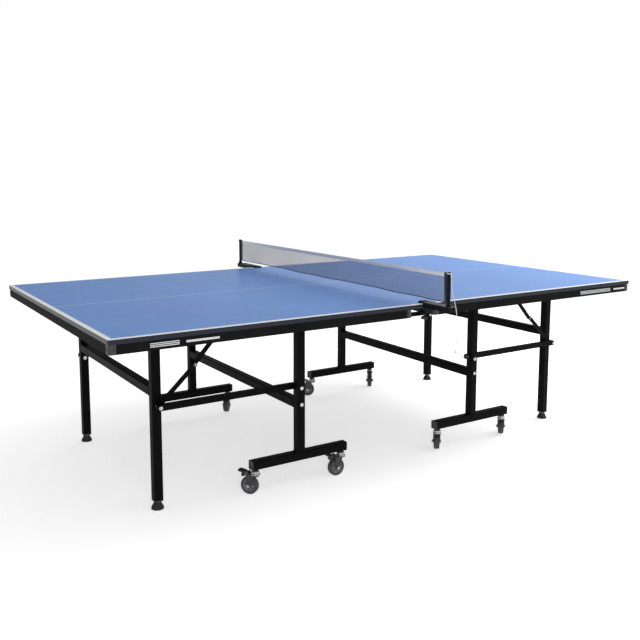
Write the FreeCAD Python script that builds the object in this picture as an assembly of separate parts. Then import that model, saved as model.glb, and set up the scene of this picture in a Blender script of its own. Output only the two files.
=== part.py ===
"""Folding table-tennis table: two rolling halves with hinged tops, and a clamped net."""
import FreeCAD, Part
import math
import os

V = FreeCAD.Vector

# Overall sizes, in millimetres. u is the distance from the net line, z is up.
TABLE_LENGTH = 2740.0
TABLE_WIDTH = 1525.0
TABLE_HEIGHT = 760.0
BOARD_THICK = 18.0
HALVES_GAP = 3.0
BOARD_CORNER_R = 6.0

# Apron and under-frame
APRON_HEIGHT = 36.0
APRON_THICK = 16.0
APRON_INSET = 2.0
APRON_NET_END = 60.0
CAP_LENGTH = 27.0
CAP_ROUND = 12.0
BRACE_WIDTH = 30.0
BRACE_HEIGHT = 20.0
BRACE_AT = (0.18, 0.47, 0.685, 0.9)
BRACKET_THICK = 3.0
BRACKET_DROP = 52.0
BRACKET_HALF = 30.0

# Square tube
TUBE = 38.0
TUBE_WALL = 1.5
TUBE_ROUND = 5.0

# Stand and legs
LEG_FROM_END = 275.0
LEG_FROM_EDGE = 295.5
POST_AT = 490.0
BAR_HALF = 230.0
WHEEL_R = 37.5
BAR_OVER_WHEEL = 33.0
BAR_BOTTOM = WHEEL_R * 2 + BAR_OVER_WHEEL
STAND_CROSS_Z = 350.0
LEG_CROSS_Z = 472.0
LINK_Z = 421.0
HINGE_DROP = 23.0
TOP_CLEAR = 4.0
FOLD_CLEAR = 3.0
LUG_R = 12.0
LUG_SLACK = 2.0
EAR_SLACK = 2.0

# Pins and bolts
PIN_R = 5.0
SMALL_PIN_R = 4.0
RUNNING_FIT = 0.06
OPEN_FIT = 0.5
SET_FIT = 0.05
HEAD_R = 8.5
HEAD_H = 4.0
COLLAR_R = 9.0
COLLAR_NUT_R = 8.0
SMALL_HEAD_R = 7.0
SMALL_NUT_R = 6.0
AXLE_HEAD_R = 6.8
KNOB_PIN_TIP = 5.0

# How far a cutter passes a face, or a piece sinks into the one it is fused with
PAST = 1.0
SAME_PLACE = 1e-3

# Link rods and stays: thicknesses across the table and widths in their plane
LINK_THICK = 19.5
LINK_HEIGHT = 25.0
ARM_THICK = 6.0
ARM_WIDTH = 18.0
LANE_GAP = 2.0
LANE_WIDE_GAP = 3.0
POST_LANE_GAP = 6.5
STAY_TOP = (278.0, 42.0)
STAY_KNEE = (156.0, 145.0)

# Feet
FOOT_R = 25.0
FOOT_NECK_R = 15.0
FOOT_RIM = 5.0
FOOT_HEIGHT = 25.0
LEG_BOTTOM = 38.0
PLUG_FLANGE = 5.0
PLUG_DEPTH = 24.0
FOOT_STEM_TOP = 78.0

# Pull pin
KNOB_Z = 435.0
KNOB_R = 11.0
KNOB_LENGTH = 16.0
KNOB_STANDOFF = 9.0
BUSH_R = 9.0
BUSH_LENGTH = 8.0

# Casters, each drawn with its stem at the origin and its wheel trailing to +x
WHEEL_WIDTH = 25.0
TYRE_DEPTH = 9.0
TYRE_ROUND = 5.0
HUB_R = 11.0
HUB_HALF = 13.7
AXLE_R = 4.0
TRAIL = 25.0
CASTER_IN = 18.0
CHEEK_IN = 14.0
CHEEK_THICK = 2.5
CHEEK_R = 10.0
CROWN_THICK = 6.0
CROWN_GAP = 5.0
CROWN_BACK = 16.0
CROWN_FRONT = 38.0
NECK_R = 13.0
NECK_GAP = 4.0
STEM_DEPTH = 20.0
PEDAL_AT = 31.0
PEDAL_LIFT = 5.0
PEDAL_PIN_R = 2.5
PEDAL_HUB_R = 4.8
PEDAL_EAR_IN = 10.0
PEDAL_EAR_THICK = 2.5
PEDAL_EAR_R = 5.5
PEDAL_EYE_R = 4.5
PEDAL_REACH = 44.0
PEDAL_SHOULDER = 14.0
PEDAL_THICK = 5.0
PEDAL_HALF = 15.0
PEDAL_TILT = 8.0
SHOE_FROM = 15.0
SHOE_LENGTH = 12.0
SHOE_DROP = 19.2
# Where each wheel trails to, in degrees from +x: front outer, front inner, rear outer, rear inner
TRAIL_LEFT = (127.0, 180.0, 245.0, 230.0)
TRAIL_RIGHT = (47.0, 52.0, 233.0, 147.0)

# Net
NET_HEIGHT = 152.5
POST_OUT = 152.5
NET_POST_R = 7.0
NET_BELOW_TOP = 2.5
NET_ABOVE_TABLE = 15.0
NET_THICK = 1.2
NET_END_GAP = 1.0
CLAMP_FROM = 3.0
CLAMP_TO = 38.0
CLAMP_OVER = 40.0
CLAMP_TOP = 7.0
CLAMP_WALL = 5.0
CLAMP_OFF = 1.5
JAW_DROP = 20.0
JAW_THICK = 6.0
BEAM_DEPTH = 19.0
BEAM_HALF = 12.0
BEAM_PAST_POST = 15.0
PART_GAP = 0.3
SCREW_IN = 20.0
SCREW_PAD_R = 7.0
SCREW_PAD_H = 3.0
SCREW_KNOB_R = 13.0
SCREW_KNOB_H = 12.0
SCREW_TAIL = 14.0

# Hanging cord: its middle line from the post's top down, seen from the net post's foot
CORD_D = 3.0
CORD_TURN_SHARE = 0.45
CORD_LINE = (
    (1.0, -8.9, 148.0),
    (2.5, -12.0, 108.0),
    (5.5, -14.5, 68.0),
    (11.0, -21.5, 35.0),
    (19.0, -25.0, 0.0),
    (26.0, -24.0, -44.0),
    (29.5, -21.5, -92.0),
    (28.0, -20.0, -140.0),
    (25.0, -20.5, -175.0),
)

HALF = TABLE_LENGTH / 2
EDGE = TABLE_WIDTH / 2
BOARD_BOTTOM = TABLE_HEIGHT - BOARD_THICK
APRON_BOTTOM = BOARD_BOTTOM - APRON_HEIGHT
HINGE_Z = BOARD_BOTTOM - HINGE_DROP
LUG_REACH = TUBE / 2 + HINGE_Z - APRON_BOTTOM + FOLD_CLEAR
TUBE_TOP = HINGE_Z - TOP_CLEAR
LEG_AT = HALF - LEG_FROM_END
LEG_V = EDGE - LEG_FROM_EDGE
UPPER_ARM_V = LEG_V + TUBE / 2 + LANE_WIDE_GAP
LOWER_ARM_V = UPPER_ARM_V + ARM_THICK + LANE_GAP
LINK_V = LOWER_ARM_V + ARM_THICK + LANE_WIDE_GAP
POST_V = LINK_V + LINK_THICK + POST_LANE_GAP + TUBE / 2
STAY_TOP_U = LEG_AT - STAY_TOP[0]
STAY_TOP_Z = BOARD_BOTTOM - STAY_TOP[1]
KNEE_U = LEG_AT - STAY_KNEE[0]
KNEE_Z = LINK_Z + STAY_KNEE[1]
HINGE_U = POST_AT - LUG_REACH
LEG_HINGE_U = LEG_AT - LUG_REACH
NET_POST_V = EDGE + POST_OUT
PARTS = {}


def block(u0, u1, v0, v1, z0, z1):
    return Part.makeBox(u1 - u0, v1 - v0, z1 - z0, V(-u1, v0, z0))


def side_block(side, u0, u1, a0, a1, z0, z1):
    low = min(side * a0, side * a1)
    return block(u0, u1, low, low + a1 - a0, z0, z1)


def pin(side, u, z, radius, a0, a1):
    return Part.makeCylinder(radius, a1 - a0, V(-u, side * a0, z), V(0, side, 0))


def fused(first, *others):
    return first.multiFuse(list(others)).removeSplitter()


def group(shapes):
    return Part.makeCompound(list(shapes))


def both_sides(make):
    return group([make(-1), make(1)])


def along(edge, axis):
    if not isinstance(edge.Curve, Part.Line):
        return False
    return abs(abs(edge.Curve.Direction.dot(axis)) - 1) < SAME_PLACE


def tube(corner, size, axis):
    """A square tube with rounded long edges, open at both ends."""
    outer = Part.makeBox(size.x, size.y, size.z, corner)
    outer = outer.makeFillet(TUBE_ROUND, [e for e in outer.Edges if along(e, axis)])
    wall = V(1 - abs(axis.x), 1 - abs(axis.y), 1 - abs(axis.z)) * TUBE_WALL
    hole = size - wall * 2
    inner = Part.makeBox(hole.x, hole.y, hole.z, corner + wall)
    inner = inner.makeFillet(TUBE_ROUND - TUBE_WALL, [e for e in inner.Edges if along(e, axis)])
    return outer.cut(inner)


def upright(u, v, z0, z1):
    return tube(V(-u - TUBE / 2, v - TUBE / 2, z0), V(TUBE, TUBE, z1 - z0), V(0, 0, 1))


def cross_tube(u, half_length, z):
    corner = V(-u - TUBE / 2, -half_length, z - TUBE / 2)
    return tube(corner, V(TUBE, half_length * 2, TUBE), V(0, 1, 0))


def tube_fill(width):
    """Half width of a plug that slides into the tube."""
    return width / 2 - TUBE_WALL - SET_FIT


def board():
    inner = HALVES_GAP / 2
    body = block(inner, HALF, -EDGE, EDGE, BOARD_BOTTOM, TABLE_HEIGHT)
    ends = [e for e in body.Edges if along(e, V(0, 0, 1)) and e.CenterOfMass.x < -inner - PAST]
    return body.makeFillet(BOARD_CORNER_R, ends)


def apron_rails():
    outer = EDGE - APRON_INSET
    end = HALF - APRON_INSET
    low, high = APRON_BOTTOM, BOARD_BOTTOM
    u0, u1 = APRON_NET_END + CAP_LENGTH, end - CAP_LENGTH
    sides = [side_block(s, u0, u1, outer - APRON_THICK, outer, low, high) for s in (-1, 1)]
    across = outer - CAP_LENGTH
    net_rail = block(APRON_NET_END, APRON_NET_END + APRON_THICK, -across, across, low, high)
    end_rail = block(end - APRON_THICK, end, -across, across, low, high)
    return group(sides + [net_rail, end_rail])


def corner_cap(side, u_corner, inward):
    """A rounded angle that closes the apron between two rails."""
    outer = EDGE - APRON_INSET
    far = u_corner + inward * CAP_LENGTH
    near_wall = u_corner + inward * APRON_THICK
    low, high = APRON_BOTTOM, BOARD_BOTTOM
    full = side_block(side, min(u_corner, far), max(u_corner, far), outer - CAP_LENGTH, outer, low, high)
    pocket = side_block(side, min(near_wall, far), max(near_wall, far),
                        outer - CAP_LENGTH, outer - APRON_THICK, low, high)
    cap = full.cut(pocket)
    tip = [e for e in cap.Edges if along(e, V(0, 0, 1))
           and abs(e.CenterOfMass.x + u_corner) < PAST and abs(abs(e.CenterOfMass.y) - outer) < PAST]
    return cap.makeFillet(CAP_ROUND, tip)


def corner_caps():
    end = HALF - APRON_INSET
    caps = [corner_cap(s, APRON_NET_END, 1) for s in (-1, 1)]
    caps += [corner_cap(s, end, -1) for s in (-1, 1)]
    return group(caps)


def hinge_bracket(side, u, v):
    """A channel under the board whose two ears hold a hinge pin."""
    reach = TUBE / 2 + EAR_SLACK
    low = BOARD_BOTTOM - BRACKET_DROP
    u0, u1 = u - BRACKET_HALF, u + BRACKET_HALF
    roof = side_block(side, u0, u1, v - reach, v + reach, BOARD_BOTTOM - BRACKET_THICK, BOARD_BOTTOM)
    ears = [side_block(side, u0, u1, a, a + BRACKET_THICK, low, BOARD_BOTTOM)
            for a in (v - reach - BRACKET_THICK, v + reach)]
    bracket = fused(roof, *ears)
    past = reach + BRACKET_THICK * 2
    hole = pin(side, u, HINGE_Z, PIN_R + SET_FIT, v - past, v + past)
    return bracket.cut(hole)


def stay_bracket(side):
    """An angle under the board whose ear holds the stay's top pin."""
    ear_v = UPPER_ARM_V + ARM_THICK + LANE_GAP / 2
    u0, u1 = STAY_TOP_U - ARM_WIDTH, STAY_TOP_U + ARM_WIDTH
    low = STAY_TOP_Z - HEAD_R
    ear = side_block(side, u0, u1, ear_v, ear_v + BRACKET_THICK, low, BOARD_BOTTOM)
    roof = side_block(side, u0, u1, UPPER_ARM_V, ear_v + BRACKET_THICK,
                      BOARD_BOTTOM - BRACKET_THICK, BOARD_BOTTOM)
    hole = pin(side, STAY_TOP_U, STAY_TOP_Z, SMALL_PIN_R + SET_FIT,
               ear_v - PAST, ear_v + BRACKET_THICK + PAST)
    return fused(ear, roof).cut(hole)


def under_frame():
    inside = EDGE - APRON_INSET - APRON_THICK
    pieces = []
    for share in BRACE_AT:
        u = share * HALF
        pieces.append(block(u - BRACE_WIDTH / 2, u + BRACE_WIDTH / 2, -inside, inside,
                            BOARD_BOTTOM - BRACE_HEIGHT, BOARD_BOTTOM))
    for side in (-1, 1):
        pieces.append(hinge_bracket(side, HINGE_U, POST_V))
        pieces.append(hinge_bracket(side, LEG_HINGE_U, LEG_V))
        pieces.append(stay_bracket(side))
    return group(pieces)


def hinge_pin(side, u, v):
    reach = TUBE / 2 + EAR_SLACK + BRACKET_THICK
    shank = pin(side, u, HINGE_Z, PIN_R, v - reach, v + reach)
    inner = pin(side, u, HINGE_Z, HEAD_R, v - reach - BRACKET_THICK, v - reach)
    outer = pin(side, u, HINGE_Z, HEAD_R, v + reach, v + reach + BRACKET_THICK)
    return fused(shank, inner, outer)


def stay_pin(side):
    ear_v = UPPER_ARM_V + ARM_THICK + LANE_GAP / 2
    end = ear_v + BRACKET_THICK
    head_v = UPPER_ARM_V - LANE_WIDE_GAP + PART_GAP * 2
    shank = pin(side, STAY_TOP_U, STAY_TOP_Z, SMALL_PIN_R, head_v, end + PAST)
    head = pin(side, STAY_TOP_U, STAY_TOP_Z, SMALL_HEAD_R, head_v, UPPER_ARM_V - PART_GAP)
    nut = pin(side, STAY_TOP_U, STAY_TOP_Z, SMALL_NUT_R, end, end + BRACKET_THICK)
    return fused(shank, head, nut)


def top_bolts():
    pieces = []
    for side in (-1, 1):
        pieces.append(hinge_pin(side, HINGE_U, POST_V))
        pieces.append(hinge_pin(side, LEG_HINGE_U, LEG_V))
        pieces.append(stay_pin(side))
    return group(pieces)


def hinge_lug(side, u_hinge, v):
    """The block on a tube's net-facing side that turns on the hinge pin."""
    half = TUBE / 2 - LUG_SLACK
    face = u_hinge + LUG_REACH - TUBE / 2
    body = side_block(side, u_hinge, face, v - half, v + half, HINGE_Z - LUG_R * 2, HINGE_Z + LUG_R - PAST)
    eye = pin(side, u_hinge, HINGE_Z, LUG_R, v - half, v + half)
    hole = pin(side, u_hinge, HINGE_Z, PIN_R + RUNNING_FIT, v - TUBE, v + TUBE)
    return fused(body, eye).cut(hole)


def stand_post(side, knob_side):
    post = upright(POST_AT, side * POST_V, BAR_BOTTOM + TUBE, TUBE_TOP)
    post = fused(post, hinge_lug(side, HINGE_U, POST_V))
    for z, radius in ((LINK_Z, PIN_R), (STAND_CROSS_Z, SMALL_PIN_R)):
        post = post.cut(pin(side, POST_AT, z, radius + SET_FIT, POST_V - TUBE, POST_V + TUBE))
    if side == knob_side:
        face = POST_AT - TUBE / 2
        at = V(-face + BUSH_LENGTH, side * POST_V, KNOB_Z)
        bush = Part.makeCylinder(BUSH_R, BUSH_LENGTH, at, V(-1, 0, 0))
        hole = Part.makeCylinder(SMALL_PIN_R + RUNNING_FIT, BUSH_LENGTH + TUBE / 2, at, V(-1, 0, 0))
        post = fused(post, bush).cut(hole)
    return post


def floor_bar(side):
    low = V(-POST_AT - BAR_HALF, side * POST_V - TUBE / 2, BAR_BOTTOM)
    bar = tube(low, V(BAR_HALF * 2, TUBE, TUBE), V(1, 0, 0))
    for u in caster_places():
        hole = Part.makeCylinder(PIN_R + RUNNING_FIT, TUBE / 2, V(-u, side * POST_V, BAR_BOTTOM - PAST))
        bar = bar.cut(hole)
    return bar


def caster_places():
    return (POST_AT + BAR_HALF - CASTER_IN, POST_AT - BAR_HALF + CASTER_IN)


def wheel_stand(knob_side):
    pieces = [stand_post(s, knob_side) for s in (-1, 1)]
    pieces += [floor_bar(s) for s in (-1, 1)]
    cross = cross_tube(POST_AT, POST_V - TUBE / 2, STAND_CROSS_Z)
    return group(pieces + [cross])


def top_plug(u, v):
    """A plug flush with the top of an upright tube."""
    half = tube_fill(TUBE)
    body = block(u - half, u + half, v - half, v + half, TUBE_TOP - PLUG_FLANGE, TUBE_TOP)
    return body.makeFillet(TUBE_ROUND - TUBE_WALL, [e for e in body.Edges if along(e, V(0, 0, 1))])


def bar_cap(side, u, outward):
    """A plug for the floor bar's end with a flange outside it."""
    half = tube_fill(TUBE)
    z = BAR_BOTTOM + TUBE / 2
    flange0, flange1 = sorted((u, u + outward * BRACKET_THICK))
    plug0, plug1 = sorted((u, u - outward * PLUG_FLANGE))
    edge = TUBE / 2
    flange = side_block(side, flange0, flange1, POST_V - edge, POST_V + edge, z - edge, z + edge)
    flange = flange.makeFillet(TUBE_ROUND, [e for e in flange.Edges if along(e, V(1, 0, 0))])
    plug = side_block(side, plug0, plug1, POST_V - half, POST_V + half, z - half, z + half)
    plug = plug.makeFillet(TUBE_ROUND - TUBE_WALL, [e for e in plug.Edges if along(e, V(1, 0, 0))])
    return fused(flange, plug)


def stand_end_caps():
    caps = [top_plug(POST_AT, s * POST_V) for s in (-1, 1)]
    for side in (-1, 1):
        caps.append(bar_cap(side, POST_AT - BAR_HALF, -1))
        caps.append(bar_cap(side, POST_AT + BAR_HALF, 1))
    return group(caps)


def dome_head(side, u, z, a):
    """A low round bolt head whose flat side is at a."""
    head = pin(side, u, z, HEAD_R, a, a + HEAD_H)
    rim = [e for e in head.Edges if abs(abs(e.CenterOfMass.y) - a - HEAD_H) < SAME_PLACE and e.Closed]
    return head.makeFillet(HEAD_H / 2, rim)


def link_bolt(side):
    face = POST_V + TUBE / 2
    inner = LINK_V - LANE_GAP
    shank = pin(side, POST_AT, LINK_Z, PIN_R, inner, face)
    nut = pin(side, POST_AT, LINK_Z, COLLAR_NUT_R, inner, LINK_V - PART_GAP)
    collar = pin(side, POST_AT, LINK_Z, COLLAR_R, LINK_V + LINK_THICK + PART_GAP, POST_V - TUBE / 2)
    return fused(shank, nut, collar, dome_head(side, POST_AT, LINK_Z, face))


def cross_bolt(side, u, v, z):
    face = v + TUBE / 2
    shank = pin(side, u, z, SMALL_PIN_R, v - TUBE, face)
    return fused(shank, dome_head(side, u, z, face))


def stand_bolts():
    pieces = [link_bolt(s) for s in (-1, 1)]
    pieces += [cross_bolt(s, POST_AT, POST_V, STAND_CROSS_Z) for s in (-1, 1)]
    return group(pieces)


def leg(side):
    tube_part = upright(LEG_AT, side * LEG_V, LEG_BOTTOM, TUBE_TOP)
    tube_part = fused(tube_part, hinge_lug(side, LEG_HINGE_U, LEG_V))
    return tube_part.cut(pin(side, LEG_AT, LINK_Z, PIN_R + SET_FIT, LEG_V - TUBE, LEG_V + TUBE))


def leg_frame():
    cross = cross_tube(LEG_AT, LEG_V - TUBE / 2, LEG_CROSS_Z)
    return group([leg(-1), leg(1), cross])


def foot_plug(side):
    """The plug at a leg's foot, with a bore for the foot's stem."""
    half = tube_fill(TUBE)
    edge = TUBE / 2
    v = side * LEG_V
    z = LEG_BOTTOM
    flange = block(LEG_AT - edge, LEG_AT + edge, v - edge, v + edge, z - PLUG_FLANGE, z)
    flange = flange.makeFillet(TUBE_ROUND, [e for e in flange.Edges if along(e, V(0, 0, 1))])
    plug = block(LEG_AT - half, LEG_AT + half, v - half, v + half, z, z + PLUG_DEPTH)
    plug = plug.makeFillet(TUBE_ROUND - TUBE_WALL, [e for e in plug.Edges if along(e, V(0, 0, 1))])
    bore = Part.makeCylinder(PIN_R + RUNNING_FIT, TUBE * 2, V(-LEG_AT, v, 0))
    return fused(flange, plug).cut(bore)


def leg_plugs():
    tops = [top_plug(LEG_AT, s * LEG_V) for s in (-1, 1)]
    return group(tops + [foot_plug(-1), foot_plug(1)])


def leg_bolt(side):
    """The bolt through a leg that carries the stay's lower arm and the link rod."""
    face = LEG_V + TUBE / 2
    inner = LEG_V - TUBE / 2
    end = LINK_V + LINK_THICK + PART_GAP
    shank = pin(side, LEG_AT, LINK_Z, PIN_R, inner, end)
    nut = pin(side, LEG_AT, LINK_Z, HEAD_R, inner - HEAD_H, inner)
    spacer = pin(side, LEG_AT, LINK_Z, HEAD_R, face, LOWER_ARM_V - PART_GAP)
    washer = pin(side, LEG_AT, LINK_Z, HEAD_R, LOWER_ARM_V + ARM_THICK + PART_GAP, LINK_V - PART_GAP)
    return fused(shank, nut, spacer, washer, dome_head(side, LEG_AT, LINK_Z, end))


def foot(side):
    v = side * LEG_V
    rim = Part.makeCylinder(FOOT_R, FOOT_RIM, V(-LEG_AT, v, 0))
    cone = Part.makeCone(FOOT_R, FOOT_NECK_R, FOOT_HEIGHT - FOOT_RIM, V(-LEG_AT, v, FOOT_RIM))
    stem = Part.makeCylinder(PIN_R, FOOT_STEM_TOP - FOOT_HEIGHT, V(-LEG_AT, v, FOOT_HEIGHT))
    return fused(rim, cone, stem)


def bar_between(side, start, end, width, v, thick):
    """A flat bar with round ends whose eyes are at start and end, in (u, z)."""
    du, dz = end[0] - start[0], end[1] - start[1]
    length = math.hypot(du, dz)
    across = V(-dz / length * -width / 2, 0, du / length * width / 2)
    y = side * v
    points = [V(-start[0], y, start[1]) + across, V(-end[0], y, end[1]) + across,
              V(-end[0], y, end[1]) - across, V(-start[0], y, start[1]) - across]
    face = Part.Face(Part.makePolygon(points + points[:1]))
    body = face.extrude(V(0, side * thick, 0))
    ends = [pin(side, p[0], p[1], width / 2, v, v + thick) for p in (start, end)]
    return fused(body, *ends)


def link_rod(side):
    start, end = (POST_AT, LINK_Z), (LEG_AT, LINK_Z)
    rod = bar_between(side, start, end, LINK_HEIGHT, LINK_V, LINK_THICK)
    rod = rod.cut(pin(side, POST_AT, LINK_Z, PIN_R + RUNNING_FIT, LINK_V - PAST, LINK_V + TUBE))
    return rod.cut(pin(side, LEG_AT, LINK_Z, PIN_R + OPEN_FIT, LINK_V - PAST, LINK_V + TUBE))


def stay_lower_arm(side):
    arm = bar_between(side, (LEG_AT, LINK_Z), (KNEE_U, KNEE_Z), ARM_WIDTH, LOWER_ARM_V, ARM_THICK)
    arm = arm.cut(pin(side, LEG_AT, LINK_Z, PIN_R + RUNNING_FIT, LOWER_ARM_V - PAST, LOWER_ARM_V + TUBE))
    rivet = pin(side, KNEE_U, KNEE_Z, SMALL_NUT_R, LOWER_ARM_V + ARM_THICK - PAST,
                LOWER_ARM_V + ARM_THICK + LANE_GAP)
    return fused(arm, rivet)


def stay_upper_arm(side):
    start, end = (STAY_TOP_U, STAY_TOP_Z), (KNEE_U, KNEE_Z)
    arm = bar_between(side, start, end, ARM_WIDTH, UPPER_ARM_V, ARM_THICK)
    hole = pin(side, STAY_TOP_U, STAY_TOP_Z, SMALL_PIN_R + RUNNING_FIT,
               UPPER_ARM_V - PAST, UPPER_ARM_V + TUBE)
    rivet = pin(side, KNEE_U, KNEE_Z, SMALL_NUT_R, UPPER_ARM_V - LANE_GAP / 2, UPPER_ARM_V + PAST)
    return fused(arm.cut(hole), rivet)


def lock_knob(side):
    """A pull pin through the post's net-facing wall."""
    face = POST_AT - TUBE / 2
    start = V(-face + KNOB_STANDOFF, side * POST_V, KNOB_Z)
    knob = Part.makeCylinder(KNOB_R, KNOB_LENGTH, start, V(1, 0, 0))
    knob = knob.makeFillet(BRACKET_THICK, [e for e in knob.Edges if e.Closed])
    shank = Part.makeCylinder(SMALL_PIN_R, KNOB_STANDOFF + TUBE / 2 + KNOB_PIN_TIP, start, V(-1, 0, 0))
    return fused(knob, shank)


def crown_z():
    return WHEEL_R * 2 + CROWN_GAP


def pedal_z():
    return crown_z() + CROWN_THICK + PEDAL_LIFT


def cylinder_y(x, z, radius, y0, y1):
    return Part.makeCylinder(radius, y1 - y0, V(x, y0, z), V(0, 1, 0))


def fork_cheek(y0):
    """One plate of the fork, from the crown down to the axle."""
    top = crown_z()
    points = [V(0, y0, top + PAST), V(CROWN_FRONT, y0, top + PAST),
              V(TRAIL + CHEEK_R, y0, WHEEL_R), V(TRAIL - CHEEK_R, y0, WHEEL_R)]
    plate = Part.Face(Part.makePolygon(points + points[:1])).extrude(V(0, CHEEK_THICK, 0))
    return fused(plate, cylinder_y(TRAIL, WHEEL_R, CHEEK_R, y0, y0 + CHEEK_THICK))


def fork(with_pedal):
    top = crown_z()
    out = CHEEK_IN + CHEEK_THICK
    crown = Part.makeBox(CROWN_BACK + CROWN_FRONT, out * 2, CROWN_THICK, V(-CROWN_BACK, -out, top))
    corners = [e for e in crown.Edges if along(e, V(0, 0, 1))]
    crown = crown.makeFillet(TUBE_ROUND, corners)
    neck = Part.makeCylinder(NECK_R, BAR_BOTTOM - NECK_GAP - top, V(0, 0, top))
    stem = Part.makeCylinder(PIN_R, NECK_GAP + STEM_DEPTH, V(0, 0, BAR_BOTTOM - NECK_GAP))
    axle = cylinder_y(TRAIL, WHEEL_R, AXLE_R, -out, out)
    heads = [cylinder_y(TRAIL, WHEEL_R, AXLE_HEAD_R, -out - BRACKET_THICK, -out),
             cylinder_y(TRAIL, WHEEL_R, AXLE_HEAD_R, out, out + BRACKET_THICK)]
    pieces = [neck, stem, axle, fork_cheek(-out), fork_cheek(CHEEK_IN)] + heads
    if with_pedal:
        pieces += pedal_ears()
    return fused(crown, *pieces)


def pedal_ears():
    base = crown_z() + CROWN_THICK
    pieces = [cylinder_y(PEDAL_AT, pedal_z(), PEDAL_PIN_R, -PEDAL_EAR_IN - PAST, PEDAL_EAR_IN + PAST)]
    for y0 in (-PEDAL_EAR_IN - PEDAL_EAR_THICK, PEDAL_EAR_IN):
        foot_block = Part.makeBox(PEDAL_EAR_R * 2, PEDAL_EAR_THICK, PEDAL_LIFT,
                                  V(PEDAL_AT - PEDAL_EAR_R, y0, base))
        eye = cylinder_y(PEDAL_AT, pedal_z(), PEDAL_EYE_R, y0, y0 + PEDAL_EAR_THICK)
        pieces += [foot_block, eye]
    return pieces


def pedal():
    """The brake pedal, drawn level and then tilted up about its pin."""
    z = pedal_z()
    inner = PEDAL_EAR_IN - PART_GAP
    low = z - PEDAL_THICK / 2
    hub = cylinder_y(PEDAL_AT, z, PEDAL_HUB_R, -inner, inner)
    arm = Part.makeBox(PEDAL_SHOULDER, inner * 2, PEDAL_THICK, V(PEDAL_AT, -inner, low))
    tread = Part.makeBox(PEDAL_REACH - PEDAL_SHOULDER, PEDAL_HALF * 2, PEDAL_THICK,
                         V(PEDAL_AT + PEDAL_SHOULDER, -PEDAL_HALF, low))
    root = PEDAL_AT + PEDAL_SHOULDER + PAST
    tips = [e for e in tread.Edges if along(e, V(0, 0, 1)) and e.CenterOfMass.x > root]
    tread = tread.makeFillet(TUBE_ROUND, tips)
    shoe = Part.makeBox(SHOE_LENGTH, inner * 2, SHOE_DROP,
                        V(PEDAL_AT + SHOE_FROM, -inner, low - SHOE_DROP + PAST))
    shape = fused(hub, arm, tread, shoe)
    shape = shape.cut(cylinder_y(PEDAL_AT, z, PEDAL_PIN_R + RUNNING_FIT, -PEDAL_HALF, PEDAL_HALF))
    shape.rotate(V(PEDAL_AT, 0, z), V(0, 1, 0), -PEDAL_TILT)
    return shape


def wheel():
    half = WHEEL_WIDTH / 2
    tyre = cylinder_y(TRAIL, WHEEL_R, WHEEL_R, -half, half)
    tyre = tyre.makeFillet(TYRE_ROUND, [e for e in tyre.Edges if e.Closed])
    tyre = tyre.cut(cylinder_y(TRAIL, WHEEL_R, WHEEL_R - TYRE_DEPTH, -half, half))
    web = cylinder_y(TRAIL, WHEEL_R, WHEEL_R - TYRE_DEPTH, -half / 2, half / 2)
    hub = cylinder_y(TRAIL, WHEEL_R, HUB_R, -HUB_HALF, HUB_HALF)
    bore = cylinder_y(TRAIL, WHEEL_R, AXLE_R + RUNNING_FIT, -TUBE, TUBE)
    return fused(tyre, web, hub).cut(bore)


def placed(shape, angle, x, y):
    copy = shape.copy()
    copy.rotate(V(0, 0, 0), V(0, 0, 1), angle)
    copy.translate(V(x, y, 0))
    return copy


def casters(half, sign, angles, pedal_at_front):
    """Adds four casters: front outer, front inner, rear outer, rear inner."""
    spots = [(y, u) for y in (-POST_V, POST_V) for u in caster_places()]
    for number, ((y, u), angle) in enumerate(zip(spots, angles), 1):
        has_pedal = (y < 0) == pedal_at_front
        spot = (angle, sign * u, y)
        PARTS[f"{half}_caster_fork_{number}"] = placed(fork(has_pedal), *spot)
        PARTS[f"{half}_caster_wheel_{number}"] = placed(wheel(), *spot)
        if has_pedal:
            PARTS[f"{half}_brake_pedal_{number}"] = placed(pedal(), *spot)


def half_table(half, turned):
    """One half, drawn on the -x side and turned about z for the other side."""
    shapes = {
        "table_board": board(),
        "apron_rails": apron_rails(),
        "corner_caps": corner_caps(),
        "under_frame": under_frame(),
        "top_bolts": top_bolts(),
        "wheel_stand": wheel_stand(1),
        "stand_end_caps": stand_end_caps(),
        "stand_bolts": stand_bolts(),
        "leg_frame": leg_frame(),
        "leg_plugs": leg_plugs(),
        "leg_bolts": both_sides(leg_bolt),
        "link_rods": both_sides(link_rod),
        "stay_lower_arms": both_sides(stay_lower_arm),
        "stay_upper_arms": both_sides(stay_upper_arm),
        "lock_knob": lock_knob(1),
    }
    near = 1 if turned else -1
    shapes["front_foot"] = foot(near)
    shapes["rear_foot"] = foot(-near)
    for name, shape in shapes.items():
        PARTS[f"{half}_{name}"] = placed(shape, 180.0 if turned else 0.0, 0.0, 0.0)


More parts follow.
